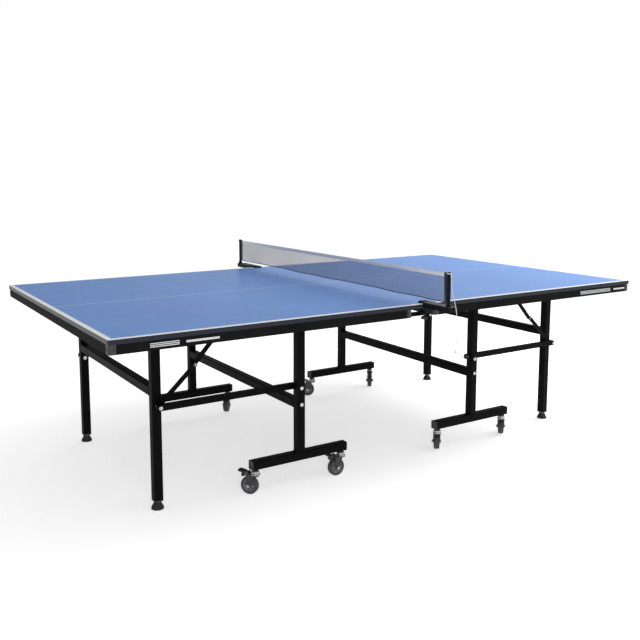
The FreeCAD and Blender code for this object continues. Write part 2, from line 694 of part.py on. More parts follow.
def net_post(side):
    """A net post on its clamp, which grips the edge of one half's board."""
    top = TABLE_HEIGHT + CLAMP_TOP
    y0, y1 = EDGE + CLAMP_OFF, NET_POST_V + BEAM_PAST_POST
    over = side_block(side, -CLAMP_TO, -CLAMP_FROM, EDGE - CLAMP_OVER, y0, TABLE_HEIGHT + PART_GAP, top)
    beam = side_block(side, -CLAMP_TO + CLAMP_OFF, BEAM_HALF, y0 + CLAMP_WALL, y1, top - BEAM_DEPTH, top)
    back = side_block(side, -CLAMP_TO, -CLAMP_FROM, y0, y0 + CLAMP_WALL,
                      BOARD_BOTTOM - JAW_DROP - JAW_THICK, top)
    jaw = side_block(side, -CLAMP_TO, -CLAMP_FROM, EDGE - CLAMP_OVER + BRACKET_THICK, y0,
                     BOARD_BOTTOM - JAW_DROP - JAW_THICK, BOARD_BOTTOM - JAW_DROP)
    x, y = screw_place(side)
    jaw = jaw.cut(Part.makeCylinder(SMALL_PIN_R + RUNNING_FIT, TUBE, V(x, y, BOARD_BOTTOM - TUBE)))
    post = Part.makeCylinder(NET_POST_R, NET_HEIGHT - CLAMP_TOP, V(0, side * NET_POST_V, top))
    post_top = TABLE_HEIGHT + NET_HEIGHT
    rim = [e for e in post.Edges if e.Closed and abs(e.CenterOfMass.z - post_top) < SAME_PLACE]
    return group([over, beam, back, jaw, post.makeFillet(LANE_GAP, rim)])


def screw_place(side):
    return (CLAMP_FROM + CLAMP_TO) / 2, side * (EDGE - SCREW_IN)


def clamp_screw(side):
    x, y = screw_place(side)
    pad_top = BOARD_BOTTOM - PART_GAP
    low = BOARD_BOTTOM - JAW_DROP - JAW_THICK - SCREW_TAIL
    pad = Part.makeCylinder(SCREW_PAD_R, SCREW_PAD_H, V(x, y, pad_top - SCREW_PAD_H))
    shank = Part.makeCylinder(SMALL_PIN_R, pad_top - SCREW_PAD_H - low, V(x, y, low))
    knob = Part.makeCylinder(SCREW_KNOB_R, SCREW_KNOB_H, V(x, y, low - SCREW_KNOB_H))
    knob = knob.makeFillet(LANE_GAP, [e for e in knob.Edges if e.Closed])
    return fused(shank, pad, knob)


def net_fabric():
    reach = NET_POST_V - NET_POST_R - NET_END_GAP
    height = NET_HEIGHT - NET_BELOW_TOP - NET_ABOVE_TABLE
    return Part.makeBox(NET_THICK, reach * 2, height,
                        V(-NET_THICK / 2, -reach, TABLE_HEIGHT + NET_ABOVE_TABLE))


def rounded_path(points):
    """Straight runs joined by tangent arcs; prints each arc's radius."""
    edges = []
    start = points[0]
    for i in range(1, len(points) - 1):
        before, here, after = points[i - 1], points[i], points[i + 1]
        back, ahead = (before - here), (after - here)
        turn = math.pi - back.getAngle(ahead)
        cut = CORD_TURN_SHARE * min(back.Length, ahead.Length)
        radius = cut / math.tan(turn / 2)
        back.normalize()
        ahead.normalize()
        enter, leave = here + back * cut, here + ahead * cut
        middle = (back + ahead).normalize()
        mid = here + middle * (math.hypot(radius, cut) - radius)
        edges.append(Part.makeLine(start, enter))
        edges.append(Part.Arc(enter, mid, leave).toShape())
        start = leave
        print("cord arc radius", round(radius, 1))
    edges.append(Part.makeLine(start, points[-1]))
    return Part.Wire(edges)


def net_cord():
    foot_at = V(0, -NET_POST_V, TABLE_HEIGHT)
    points = [foot_at + V(*p) for p in CORD_LINE]
    path = rounded_path(points)
    direction = points[1] - points[0]
    ring = Part.Wire(Part.makeCircle(CORD_D / 2, points[0], direction))
    tube_shape = path.makePipeShell([ring], True, True)
    section = math.pi * CORD_D * CORD_D / 4
    ratio = tube_shape.Volume / section / path.Length
    print("cord length", round(path.Length, 1), "volume ratio", round(ratio, 4))
    return tube_shape


def export_all():
    os.makedirs("parts", exist_ok=True)
    for name, shape in sorted(PARTS.items()):
        assert shape.isValid(), name
        shape.exportStep(f"parts/{name}.step")
    print(len(PARTS), "parts")


half_table("left", False)
half_table("right", True)
casters("left", -1, TRAIL_LEFT, True)
casters("right", 1, TRAIL_RIGHT, False)
PARTS["net_post_front"] = net_post(-1)
PARTS["net_post_rear"] = net_post(1)
PARTS["clamp_screw_front"] = clamp_screw(-1)
PARTS["clamp_screw_rear"] = clamp_screw(1)
PARTS["net_fabric"] = net_fabric()
PARTS["net_cord"] = net_cord()
export_all()
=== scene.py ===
# %% [markdown]
# # A folding table tennis table
# Two rolling halves stand end to end. Each has a blue board on a dark steel
# frame, and a net is clamped where they meet. The steel parts come from the
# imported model. This notebook gives them their finishes and adds what is soft,
# thin or repeated: the net, its tape, the cord, weld beads, screws and ribs.

import math

import bmesh
import bpy
from mathutils import Matrix, Vector


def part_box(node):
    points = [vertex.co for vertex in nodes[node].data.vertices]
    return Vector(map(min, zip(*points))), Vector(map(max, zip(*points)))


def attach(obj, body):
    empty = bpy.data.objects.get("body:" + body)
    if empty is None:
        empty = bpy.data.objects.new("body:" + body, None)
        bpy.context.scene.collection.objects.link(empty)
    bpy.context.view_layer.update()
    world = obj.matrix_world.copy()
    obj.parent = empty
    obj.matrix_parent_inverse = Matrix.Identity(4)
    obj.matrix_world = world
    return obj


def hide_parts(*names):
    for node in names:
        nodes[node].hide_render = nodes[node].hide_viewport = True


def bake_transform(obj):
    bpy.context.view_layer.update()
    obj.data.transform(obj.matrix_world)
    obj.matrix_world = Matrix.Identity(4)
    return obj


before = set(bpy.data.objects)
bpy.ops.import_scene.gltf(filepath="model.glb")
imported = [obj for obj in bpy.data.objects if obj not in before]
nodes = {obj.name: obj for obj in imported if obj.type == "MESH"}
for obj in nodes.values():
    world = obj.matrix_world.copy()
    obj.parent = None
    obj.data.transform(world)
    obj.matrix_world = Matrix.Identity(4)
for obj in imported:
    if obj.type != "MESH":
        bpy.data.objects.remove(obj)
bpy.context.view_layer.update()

# %% [markdown]
# ## Sizes
# Every size is in metres. The board's half length, half width and top and the
# net's height are read from the frame. The other places repeat the sizes of
# the steel, so that the added pieces land on it.

# %% Sizes read from the frame
board_low, board_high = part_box("left_table_board")
HALF = -board_low[0]
EDGE = board_high[1]
TOP = board_high[2]
NET_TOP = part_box("net_fabric")[1][2]
POST_Y = 0.915
HALVES = ("left", "right")
print("half length", round(HALF, 4), "half width", round(EDGE, 4), "net top", round(NET_TOP, 4))

# %% [markdown]
# ## Building finishes from nodes
# A finish is a Principled shader with a few noise patterns behind it. Writing
# each node by hand is long, so these helpers add a node, wire its inputs and
# return the socket that the next one reads.


# %% Helpers for shader nodes
def new_finish(name, colour, roughness, metallic=0.0, **extra):
    """An empty finish: its material, node tree and shader."""
    material = bpy.data.materials.new(name)
    material.use_nodes = True
    tree = material.node_tree
    shader = tree.nodes["Principled BSDF"]
    shader.inputs["Base Color"].default_value = (*colour, 1)
    shader.inputs["Roughness"].default_value = roughness
    shader.inputs["Metallic"].default_value = metallic
    for key, value in extra.items():
        shader.inputs[key.replace("_", " ")].default_value = value
    return material, tree, shader


def wire(tree, value, socket):
    """Puts a number, a colour or another node's output into a socket."""
    if isinstance(value, bpy.types.NodeSocket):
        tree.links.new(value, socket)
    elif isinstance(value, (tuple, list)) and len(value) == 3 and socket.type == "RGBA":
        socket.default_value = (*value, 1)
    else:
        socket.default_value = value


def place(tree):
    """Object coordinates, in metres."""
    return tree.nodes.new("ShaderNodeTexCoord").outputs["Object"]


def calc(tree, operation, a, b=0.0, c=0.0, clamp=False):
    node = tree.nodes.new("ShaderNodeMath")
    node.operation = operation
    node.use_clamp = clamp
    for value, socket in zip((a, b, c), node.inputs):
        wire(tree, value, socket)
    return node.outputs[0]


def grain(tree, where, scale, detail=3.0, roughness=0.55):
    node = tree.nodes.new("ShaderNodeTexNoise")
    wire(tree, where, node.inputs["Vector"])
    node.inputs["Scale"].default_value = scale
    node.inputs["Detail"].default_value = detail
    node.inputs["Roughness"].default_value = roughness
    return node.outputs["Fac"]


def blend_colours(tree, share, first, second):
    node = tree.nodes.new("ShaderNodeMix")
    node.data_type = "RGBA"
    wire(tree, share, node.inputs[0])
    wire(tree, first, node.inputs[6])
    wire(tree, second, node.inputs[7])
    return node.outputs[2]


def spread(tree, value, low, high, to_low, to_high):
    node = tree.nodes.new("ShaderNodeMapRange")
    for socket, number in zip(node.inputs, (value, low, high, to_low, to_high)):
        wire(tree, number, socket)
    return node.outputs[0]


def vary_roughness(tree, shader, pattern, low, high, smoothest, roughest):
    """Lets a pattern change how rough the surface is from place to place."""
    wire(tree, spread(tree, pattern, low, high, smoothest, roughest), shader.inputs["Roughness"])


def emboss(tree, shader, height, strength, depth):
    node = tree.nodes.new("ShaderNodeBump")
    node.inputs["Strength"].default_value = strength
    node.inputs["Distance"].default_value = depth
    wire(tree, height, node.inputs["Height"])
    tree.links.new(node.outputs[0], shader.inputs["Normal"])


def stretched(tree, where, scale):
    """Coordinates squeezed along an axis, for brushed or rolled patterns."""
    node = tree.nodes.new("ShaderNodeMapping")
    wire(tree, where, node.inputs["Vector"])
    node.inputs["Scale"].default_value = scale
    return node.outputs[0]


def edge_wear(tree):
    """High along sharp edges, where paint rubs thin first."""
    point = tree.nodes.new("ShaderNodeNewGeometry").outputs["Pointiness"]
    return spread(tree, point, 0.60, 0.72, 0.0, 0.6)


print("shader helpers ready")

# %% [markdown]
# ## The board's paint
# The board is rolled blue paint with white lines: 20 mm along the edges and a
# fine one down the middle. The lines could be thin strips laid on top, but
# real lines are paint, flush and with a soft edge. So they are drawn in the
# material from the distance to each edge. The sides of the board are sealed
# dark, and a fine roller texture breaks up the gloss.

# %% Board paint
LINE = 0.020
CENTRE_LINE = 0.0016
BLUE = (0.060, 0.155, 0.400)
BLUE_DEEP = (0.086, 0.246, 0.640)
BLUE_PALE = (0.098, 0.272, 0.700)
BLUE_SCUFFED = (0.17, 0.32, 0.62)
LINE_WHITE = (0.88, 0.90, 0.92)
EDGE_DARK = (0.012, 0.016, 0.028)


def line_share(tree, distance, reach, soft=0.0004):
    """1 nearer than reach and 0 beyond it, with a soft step between."""
    return spread(tree, distance, reach - soft, reach + soft, 1.0, 0.0)


board_paint, tree, shader = new_finish("board_blue_paint", BLUE, 0.38, Specular_IOR_Level=0.20,
                                       Coat_Weight=0.06, Coat_Roughness=0.30)
where = place(tree)
axes = tree.nodes.new("ShaderNodeSeparateXYZ")
wire(tree, where, axes.inputs[0])
from_side = calc(tree, "SUBTRACT", EDGE, calc(tree, "ABSOLUTE", axes.outputs["Y"]))
from_end = calc(tree, "SUBTRACT", HALF, calc(tree, "ABSOLUTE", axes.outputs["X"]))
from_middle = calc(tree, "ABSOLUTE", axes.outputs["Y"])
on_line = calc(tree, "MAXIMUM", line_share(tree, from_side, LINE), line_share(tree, from_end, LINE))
on_line = calc(tree, "MAXIMUM", on_line, line_share(tree, from_middle, CENTRE_LINE))
cloudy = grain(tree, where, 3.0)
roller = grain(tree, where, 900.0, 2.0)
scuffs = grain(tree, stretched(tree, where, (1.0, 7.0, 1.0)), 26.0, 6.0, 0.7)
blue = blend_colours(tree, spread(tree, cloudy, 0.3, 0.7, 0.0, 1.0), BLUE_DEEP, BLUE_PALE)
blue = blend_colours(tree, spread(tree, scuffs, 0.62, 0.78, 0.0, 0.16), blue, BLUE_SCUFFED)
painted = blend_colours(tree, on_line, blue, LINE_WHITE)
on_top = spread(tree, axes.outputs["Z"], TOP - 0.0009, TOP - 0.0003, 0.0, 1.0)
wire(tree, blend_colours(tree, on_top, EDGE_DARK, painted), shader.inputs["Base Color"])
vary_roughness(tree, shader, scuffs, 0.3, 0.8, 0.31, 0.44)
emboss(tree, shader, roller, 0.10, 0.0002)
print("board paint with", LINE * 1000, "mm lines")

# %% [markdown]
# ## Steel, plastic and rubber
# The tube has a smooth black satin paint and the apron a charcoal powder coat
# with a fine grit. Bolts and ball races are bright zinc. The forks' plating is
# painted dark, a painted dark reflection of the dark surroundings it mirrors.
# Plastics and rubber differ mostly in how rough they are and in how dust and
# rubbing change that.


# %% Paint on steel
def steel_paint(name, colour, roughness, grit, grit_scale, worn, gloss=0.05):
    """Painted steel: grit in the bump, cloudy gloss, and thin paint on edges."""
    material, tree, shader = new_finish(name, colour, roughness, Specular_IOR_Level=gloss)
    where = place(tree)
    cloudy = grain(tree, where, 9.0, 4.0)
    dust = grain(tree, where, 60.0, 5.0, 0.7)
    lighter = tuple(min(1.0, c * 1.5 + 0.002) for c in colour)
    tint = blend_colours(tree, spread(tree, cloudy, 0.35, 0.75, 0.0, 0.5), colour, lighter)
    rubbed = calc(tree, "MULTIPLY", edge_wear(tree), spread(tree, dust, 0.52, 0.75, 0.0, 1.0))
    wire(tree, blend_colours(tree, rubbed, tint, worn), shader.inputs["Base Color"])
    vary_roughness(tree, shader, dust, 0.3, 0.75, roughness - 0.05, roughness + 0.12)
    emboss(tree, shader, grain(tree, where, grit_scale, 2.0), grit, 0.0003)
    return material


tube_paint = steel_paint("frame_black_satin", (0.0018, 0.0018, 0.0020), 0.50, 0.10, 1400.0,
                         (0.018, 0.018, 0.019))
apron_coat = steel_paint("apron_charcoal_coat", (0.0056, 0.0056, 0.0060), 0.64, 0.30, 1100.0,
                         (0.022, 0.022, 0.023))
post_paint = steel_paint("net_post_black", (0.008, 0.008, 0.011), 0.34, 0.12, 1600.0, (0.06, 0.06, 0.065))
print("three steel paints")


# %% Plating on bolts, ball races and forks
def zinc_plate(name, colour, roughness, brush):
    """Plating with fine turning marks and slightly duller patches."""
    material, tree, shader = new_finish(name, colour, roughness, 1.0)
    where = place(tree)
    marks = grain(tree, stretched(tree, where, brush), 700.0, 2.0)
    patches = grain(tree, where, 45.0, 4.0)
    duller = tuple(c * 0.62 for c in colour)
    wire(tree, blend_colours(tree, spread(tree, patches, 0.4, 0.75, 0.0, 0.7), colour, duller),
         shader.inputs["Base Color"])
    vary_roughness(tree, shader, patches, 0.3, 0.7, roughness - 0.06, roughness + 0.14)
    emboss(tree, shader, marks, 0.12, 0.0002)
    return material


bolt_zinc = zinc_plate("bolt_bright_zinc", (0.52, 0.52, 0.53), 0.26, (1.0, 0.1, 1.0))
# Painted dark reflection: the forks' plating gets a dark colour that stands in for the dark surroundings it
# mirrors.
fork_plate_dark_reflection = zinc_plate("fork_plate_painted_dark_reflection", (0.070, 0.070, 0.074), 0.34, (1.0, 1.0, 0.15))
print("bolt and fork plating")


# %% Moulded plastic and rubber
def moulded(name, colour, roughness, leather, depth, dust_share):
    """Moulded plastic or rubber: a pebbled skin and pale dust in patches."""
    material, tree, shader = new_finish(name, colour, roughness, Specular_IOR_Level=0.4)
    where = place(tree)
    skin = tree.nodes.new("ShaderNodeTexVoronoi")
    wire(tree, where, skin.inputs["Vector"])
    skin.inputs["Scale"].default_value = leather
    dust = grain(tree, where, 110.0, 5.0, 0.7)
    pale = tuple(c * 0.8 + 0.045 for c in colour)
    share = spread(tree, dust, 0.48, 0.78, 0.0, dust_share)
    wire(tree, blend_colours(tree, share, colour, pale), shader.inputs["Base Color"])
    vary_roughness(tree, shader, dust, 0.3, 0.8, roughness - 0.06, roughness + 0.14)
    emboss(tree, shader, skin.outputs["Distance"], depth, 0.0002)
    return material


cap_plastic = moulded("corner_cap_plastic", (0.030, 0.030, 0.033), 0.42, 1500.0, 0.25, 0.5)
plug_plastic = moulded("plug_black_plastic", (0.012, 0.012, 0.013), 0.48, 1300.0, 0.30, 0.6)
foot_rubber = moulded("foot_black_rubber", (0.014, 0.014, 0.015), 0.66, 900.0, 0.40, 0.8)
tyre_rubber = moulded("tyre_grey_rubber", (0.034, 0.035, 0.038), 0.58, 1000.0, 0.35, 0.9)
print("four mouldings")

# %% Give the frame's parts their finishes
FINISHES = {
    "table_board": board_paint,
    "apron_rails": apron_coat,
    "corner_caps": cap_plastic,
    "under_frame": tube_paint,
    "top_bolts": bolt_zinc,
    "wheel_stand": tube_paint,
    "stand_end_caps": plug_plastic,
    "stand_bolts": bolt_zinc,
    "leg_frame": tube_paint,
    "leg_plugs": plug_plastic,
    "leg_bolts": bolt_zinc,
    "front_foot": foot_rubber,
    "rear_foot": foot_rubber,
    "link_rods": tube_paint,
    "stay_lower_arms": tube_paint,
    "stay_upper_arms": tube_paint,
    "lock_knob": plug_plastic,
    "caster_fork": fork_plate_dark_reflection,
    "caster_wheel": tyre_rubber,
    "brake_pedal": plug_plastic,
    "net_post": post_paint,
    "clamp_screw": plug_plastic,
}


def paint(piece, material):
    piece.data.materials.clear()
    piece.data.materials.append(material)


for name, piece in nodes.items():
    for key, finish in FINISHES.items():
        if key in name:
            paint(piece, finish)
print("finished", len(FINISHES), "kinds of part")

# %% [markdown]
# ## Making pieces
# A finished piece is one plain mesh whose object sits at the origin. The next
# helpers turn a bmesh, a curve or a Geometry Nodes tree into such a mesh and
# let it ride on the body that carries it.


# %% Helpers for pieces
def mesh_piece(name, mesh, material, body, smooth=True):
    piece = bpy.data.objects.new(name, mesh)
    bpy.context.scene.collection.objects.link(piece)
    paint(piece, material)
    for polygon in mesh.polygons:
        polygon.use_smooth = smooth
    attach(piece, body)
    return piece


def from_bmesh(name, work, material, body, smooth=True):
    bmesh.ops.recalc_face_normals(work, faces=work.faces)
    mesh = bpy.data.meshes.new(name)
    work.to_mesh(mesh)
    work.free()
    return mesh_piece(name, mesh, material, body, smooth)


def add_box(work, low, high, bevel=0.0):
    """A box, with rounded edges if bevel isn't zero."""
    size = [h - l for l, h in zip(low, high)]
    middle = [(l + h) / 2 for l, h in zip(low, high)]
    made = bmesh.ops.create_cube(work, size=1.0, matrix=Matrix.LocRotScale(middle, None, size))
    if bevel:
        edges = list({e for v in made["verts"] for e in v.link_edges})
        bmesh.ops.bevel(work, geom=edges, offset=bevel, segments=3, profile=0.6, affect="EDGES")


def skin(work, rings):
    """Faces between rings that have the same number of points."""
    for below, above in zip(rings, rings[1:]):
        for k in range(len(below)):
            j = (k + 1) % len(below)
            work.faces.new((below[k], below[j], above[j], above[k]))


def add_lathe(work, outline, matrix, steps=40):
    """Turns (radius, height) points round the z axis, closed at both ends."""
    rings = []
    for radius, height in outline:
        ring = []
        for k in range(steps):
            turn = 2 * math.pi * k / steps
            point = Vector((radius * math.cos(turn), radius * math.sin(turn), height))
            ring.append(work.verts.new(matrix @ point))
        rings.append(ring)
    skin(work, rings)
    work.faces.new(rings[0][::-1])
    work.faces.new(rings[-1])


def tube_along(name, points, radius, closed=False, steps=8):
    """The mesh of a round bead that runs through the points."""
    curve = bpy.data.curves.new(name, "CURVE")
    curve.dimensions = "3D"
    spline = curve.splines.new("POLY")
    spline.points.add(len(points) - 1)
    for slot, point in zip(spline.points, points):
        slot.co = (*point, 1)
    spline.use_cyclic_u = closed
    curve.bevel_depth = radius
    curve.bevel_resolution = steps // 4
    curve.use_fill_caps = not closed
    holder = bpy.data.objects.new(name, curve)
    mesh = bpy.data.meshes.new_from_object(holder)
    bpy.data.objects.remove(holder)
    return mesh


def turn_to(direction, at):
    """A matrix that takes +z to the direction and the origin to at."""
    return Matrix.Translation(at) @ Vector(direction).to_track_quat("Z", "Y").to_matrix().to_4x4()


print("piece helpers ready")


# %% Helpers for Geometry Nodes
def new_tree(name, inputs):
    """An empty tree with a geometry input, the named sizes and a material."""
    tree = bpy.data.node_groups.new(name, "GeometryNodeTree")
    face = tree.interface
    face.new_socket("Geometry", in_out="INPUT", socket_type="NodeSocketGeometry")
    for label, value in inputs.items():
        kind = "NodeSocketInt" if isinstance(value, int) else "NodeSocketFloat"
        face.new_socket(label, in_out="INPUT", socket_type=kind).default_value = value
    face.new_socket("Finish", in_out="INPUT", socket_type="NodeSocketMaterial")
    face.new_socket("Geometry", in_out="OUTPUT", socket_type="NodeSocketGeometry")
    return tree, tree.nodes.new("NodeGroupInput"), tree.nodes.new("NodeGroupOutput")


def geo(tree, kind, settings=None, **inputs):
    """Adds a geometry node, sets its options and wires its inputs."""
    node = tree.nodes.new(kind)
    for key, value in (settings or {}).items():
        setattr(node, key, value)
    for key, value in inputs.items():
        label = key.replace("_", " ")
        socket = next(s for s in node.inputs if s.name == label and s.enabled)
        if isinstance(value, bpy.types.NodeSocket):
            tree.links.new(value, socket)
        else:
            socket.default_value = value
    return node


def close_tree(tree, result, source, sink):
    """Ends a tree in real geometry with its finish."""
    real = geo(tree, "GeometryNodeRealizeInstances", Geometry=result)
    finish = geo(tree, "GeometryNodeSetMaterial", Geometry=real.outputs[0], Material=source.outputs["Finish"])
    tree.links.new(finish.outputs[0], sink.inputs[0])


def bake(name, base, tree, values, material, body, smooth=True):
    """Runs the tree on a base mesh and keeps the result as a plain mesh."""
    holder = bpy.data.objects.new(name + "_base", base)
    bpy.context.scene.collection.objects.link(holder)
    modifier = holder.modifiers.new("nodes", "NODES")
    modifier.node_group = tree
    for item in tree.interface.items_tree:
        if item.in_out == "INPUT" and item.name in values:
            modifier[item.identifier] = values[item.name]
        if item.in_out == "INPUT" and item.name == "Finish":
            modifier[item.identifier] = material
    depsgraph = bpy.context.evaluated_depsgraph_get()
    mesh = bpy.data.meshes.new_from_object(holder.evaluated_get(depsgraph))
    holder.modifiers.remove(modifier)
    bpy.data.objects.remove(holder)
    mesh.name = name
    return mesh_piece(name, mesh, material, body, smooth)


def points_mesh(name, points, normals=None):
    """Loose vertices, with a direction for each as an attribute."""
    mesh = bpy.data.meshes.new(name)
    mesh.from_pydata([tuple(p) for p in points], [], [])
    if normals:
        store = mesh.attributes.new("facing", "FLOAT_VECTOR", "POINT")
        for slot, normal in zip(store.data, normals):
            slot.vector = normal
    return mesh


print("geometry node helpers ready")

# %% [markdown]
# ## Where things sit
# Both halves are the same half turned round, so one set of sizes serves both:
# u runs out from the net line, v across the table. Each caster has its own
# axes, with its stem at the origin and its wheel trailing along +x.

# %% Places on the two halves
STAND_U, LEG_U = 0.490, 1.095
STAND_V, LEG_V = 0.551, 0.467
TUBE_HALF = 0.019
HINGE_Z = 0.719
KNEE_U, KNEE_Z = 0.939, 0.566
CASTER_U = (0.702, 0.278)
WHEEL_RADIUS = 0.0375
AXLE_TRAIL = 0.025
TRAILS = {"left": (127, 180, 245, 230), "right": (47, 52, 233, 147)}
PEDALS = {"left": (1, 2), "right": (3, 4)}
SIGN = {"left": -1, "right": 1}


def spot(half, u, v, z):
    s = SIGN[half]
    return Vector((s * u, -s * v, z))


def caster_frame(half, number):
    x = SIGN[half] * CASTER_U[(number - 1) % 2]
    y = -STAND_V if number < 3 else STAND_V
    return Matrix.Translation((x, y, 0)) @ Matrix.Rotation(math.radians(TRAILS[half][number - 1]), 4, "Z")


CASTERS = [(half, number) for half in HALVES for number in (1, 2, 3, 4)]
print(len(CASTERS), "casters placed")

# %% [markdown]
# ## Cloth, thread and cord finishes
# The tape is white cotton with a plain weave, the sleeves are dark nylon, and
# the net and hem are navy thread. Each weave is two crossing waves in the
# bump, at the thread's real pitch, and each thread has slanting strands. Both
# darken their hollows with painted shade, and carry a little sheen on top.


# %% Finishes for cloth and thread
def waves(tree, along, pitch):
    return calc(tree, "SINE", calc(tree, "MULTIPLY", along, 2 * math.pi / pitch))


def woven(name, colour, roughness, pitch, depth, patches, sheen):
    """Cloth whose threads cross at the given pitch, with worn patches and painted shade in the weave's
    hollows.
    """
    material, tree, shader = new_finish(name, colour, roughness, Sheen_Weight=sheen, Sheen_Roughness=0.4)
    where = place(tree)
    axes = tree.nodes.new("ShaderNodeSeparateXYZ")
    wire(tree, where, axes.inputs[0])
    weft = waves(tree, axes.outputs["Y"], pitch)
    warp = waves(tree, axes.outputs["Z"], pitch)
    weave = calc(tree, "MULTIPLY", weft, warp)
    soiled = grain(tree, where, 30.0, 5.0, 0.65)
    fibre = grain(tree, where, 2500.0, 2.0)
    dark_tone_and_hollow_shade = tuple(c * patches for c in colour)
    tint = blend_colours(tree, spread(tree, soiled, 0.35, 0.7, 0.0, 0.6), colour, dark_tone_and_hollow_shade)
    # Painted shade: the colour darkens where the weave's bump is low, in its hollows.
    tint = blend_colours(tree, spread(tree, weave, -1.0, 1.0, 0.25, 0.0), tint, dark_tone_and_hollow_shade)
    wire(tree, tint, shader.inputs["Base Color"])
    vary_roughness(tree, shader, fibre, 0.3, 0.7, roughness - 0.05, roughness + 0.08)
    emboss(tree, shader, calc(tree, "ADD", weave, calc(tree, "MULTIPLY", fibre, 0.6)), depth, 0.0002)
    return material


def twisted(name, colour, roughness, lay):
    """Thread or cord: slanting strands in the bump, painted shade in the grooves between them and a slight
    change of tone.
    """
    material, tree, shader = new_finish(name, colour, roughness, Sheen_Weight=0.25, Sheen_Roughness=0.5)
    where = place(tree)
    axes = tree.nodes.new("ShaderNodeSeparateXYZ")
    wire(tree, where, axes.inputs[0])
    slant = calc(tree, "ADD", axes.outputs["Z"], calc(tree, "MULTIPLY", axes.outputs["Y"], 0.8))
    strand = waves(tree, calc(tree, "ADD", slant, calc(tree, "MULTIPLY", axes.outputs["X"], 0.9)), lay)
    fuzz = grain(tree, where, 1800.0, 3.0)
    tone = grain(tree, where, 40.0, 4.0)
    dark_tone_and_hollow_shade = tuple(c * 0.6 for c in colour)
    tint = blend_colours(tree, spread(tree, tone, 0.35, 0.7, 0.0, 0.5), colour, dark_tone_and_hollow_shade)
    # Painted shade: the colour darkens in the grooves between strands, where the bump is low.
    tint = blend_colours(tree, spread(tree, strand, -1.0, -0.2, 0.45, 0.0), tint, dark_tone_and_hollow_shade)
    wire(tree, tint, shader.inputs["Base Color"])
    vary_roughness(tree, shader, fuzz, 0.3, 0.7, roughness - 0.06, roughness + 0.08)
    emboss(tree, shader, calc(tree, "ADD", strand, fuzz), 0.35, 0.0003)
    return material


tape_cotton = woven("net_tape_white_cotton", (0.80, 0.81, 0.86), 0.72, 0.0012, 0.35, 0.80, 0.25)
sleeve_nylon = woven("net_sleeve_black_nylon", (0.010, 0.011, 0.020), 0.62, 0.0010, 0.45, 0.6, 0.20)
net_thread = twisted("net_navy_thread", (0.028, 0.040, 0.120), 0.70, 0.0021)
hem_thread = twisted("net_hem_navy_cord", (0.012, 0.018, 0.060), 0.66, 0.0030)
stitch_thread = twisted("seam_thread_grey", (0.46, 0.47, 0.54), 0.60, 0.0009)
cord_cotton = twisted("pull_cord_white_braid", (0.74, 0.73, 0.68), 0.68, 0.0026)
weld_paint = steel_paint("weld_black_paint", (0.0085, 0.0085, 0.009), 0.33, 0.18, 1200.0, (0.05, 0.05, 0.052))
vinyl = moulded("apron_mark_vinyl", (0.62, 0.63, 0.64), 0.42, 1700.0, 0.10, 0.3)
rim_plastic = moulded("wheel_rim_grey_plastic", (0.16, 0.165, 0.175), 0.40, 1400.0, 0.15, 0.5)
print("cloth, thread, weld and vinyl finishes")

# %% [markdown]
# ## The net
# The net is knitted from one kind of thread into small honeycomb cells. One
# wavy strand is drawn by index, copied up in rows with every second row
# shifted by half a cell so that neighbours touch, and swept with a thin
# section. It hangs from the tape, so its lower part waves and bellies a little.
# A plane with a pattern of holes would be lighter, but it has no thickness and
# the threads are seen edge on from the camera.

# %% Sizes of the net and its tape
CELL = 0.0096
ROW = 0.0046
NET_CELLS = 186
THREAD_RADIUS = 0.00092
FLAT_SHARE = 0.18
NET_BOTTOM = 0.7935
TAPE_BOTTOM = 0.8925
SAG = 0.0050
BELLY = 0.0016
# Each wave is its radians per metre and its start.
SLOW_WAVE, SLOW_SHARE = (8.1, 0.9), 0.32
QUICK_WAVE, QUICK_SHARE = (23.0, 2.2), 0.18
BELLY_WAVE = (17.0, 0.4)
print(NET_CELLS, "cells of", CELL * 1000, "mm along the net")

# %% A tree that knits the net
weave, source, sink = new_tree("net_weave", {
    "Cells": NET_CELLS, "Rows": 22, "Cell": CELL, "Row": ROW, "Thread": THREAD_RADIUS,
    "Sag": SAG, "Belly": BELLY})


def combined(tree, x, y, z):
    node = tree.nodes.new("ShaderNodeCombineXYZ")
    for value, socket in zip((x, y, z), node.inputs):
        wire(tree, value, socket)
    return node.outputs[0]


def parts_of(tree, vector):
    node = tree.nodes.new("ShaderNodeSeparateXYZ")
    wire(tree, vector, node.inputs[0])
    return node.outputs


def hem_wave(tree, y):
    """0 to 1 along the net, from two waves that don't repeat together."""
    slow = calc(tree, "SINE", calc(tree, "MULTIPLY_ADD", y, *SLOW_WAVE))
    quick = calc(tree, "SINE", calc(tree, "MULTIPLY_ADD", y, *QUICK_WAVE))
    both = calc(tree, "ADD", calc(tree, "MULTIPLY", slow, SLOW_SHARE),
                calc(tree, "MULTIPLY", quick, QUICK_SHARE))
    return calc(tree, "ADD", both, 0.5)


cells, rows = source.outputs["Cells"], source.outputs["Rows"]
cell, row = source.outputs["Cell"], source.outputs["Row"]
index = geo(weave, "GeometryNodeInputIndex").outputs[0]
step = calc(weave, "MODULO", index, 4.0)
raised = calc(weave, "FLOOR", calc(weave, "MULTIPLY", step, 0.5))
flat = calc(weave, "MODULO", step, 2.0)
along_cell = calc(weave, "ADD", calc(weave, "MULTIPLY", raised, 0.5),
                  calc(weave, "MULTIPLY", flat, FLAT_SHARE))
count = calc(weave, "FLOOR", calc(weave, "DIVIDE", index, 4.0))
half_net = calc(weave, "MULTIPLY", calc(weave, "MULTIPLY", cells, cell), 0.5)
strand_y = calc(weave, "MULTIPLY", calc(weave, "ADD", count, along_cell), cell)
strand_y = calc(weave, "SUBTRACT", strand_y, half_net)
strand_z = calc(weave, "MULTIPLY", calc(weave, "SUBTRACT", raised, 0.5), row)
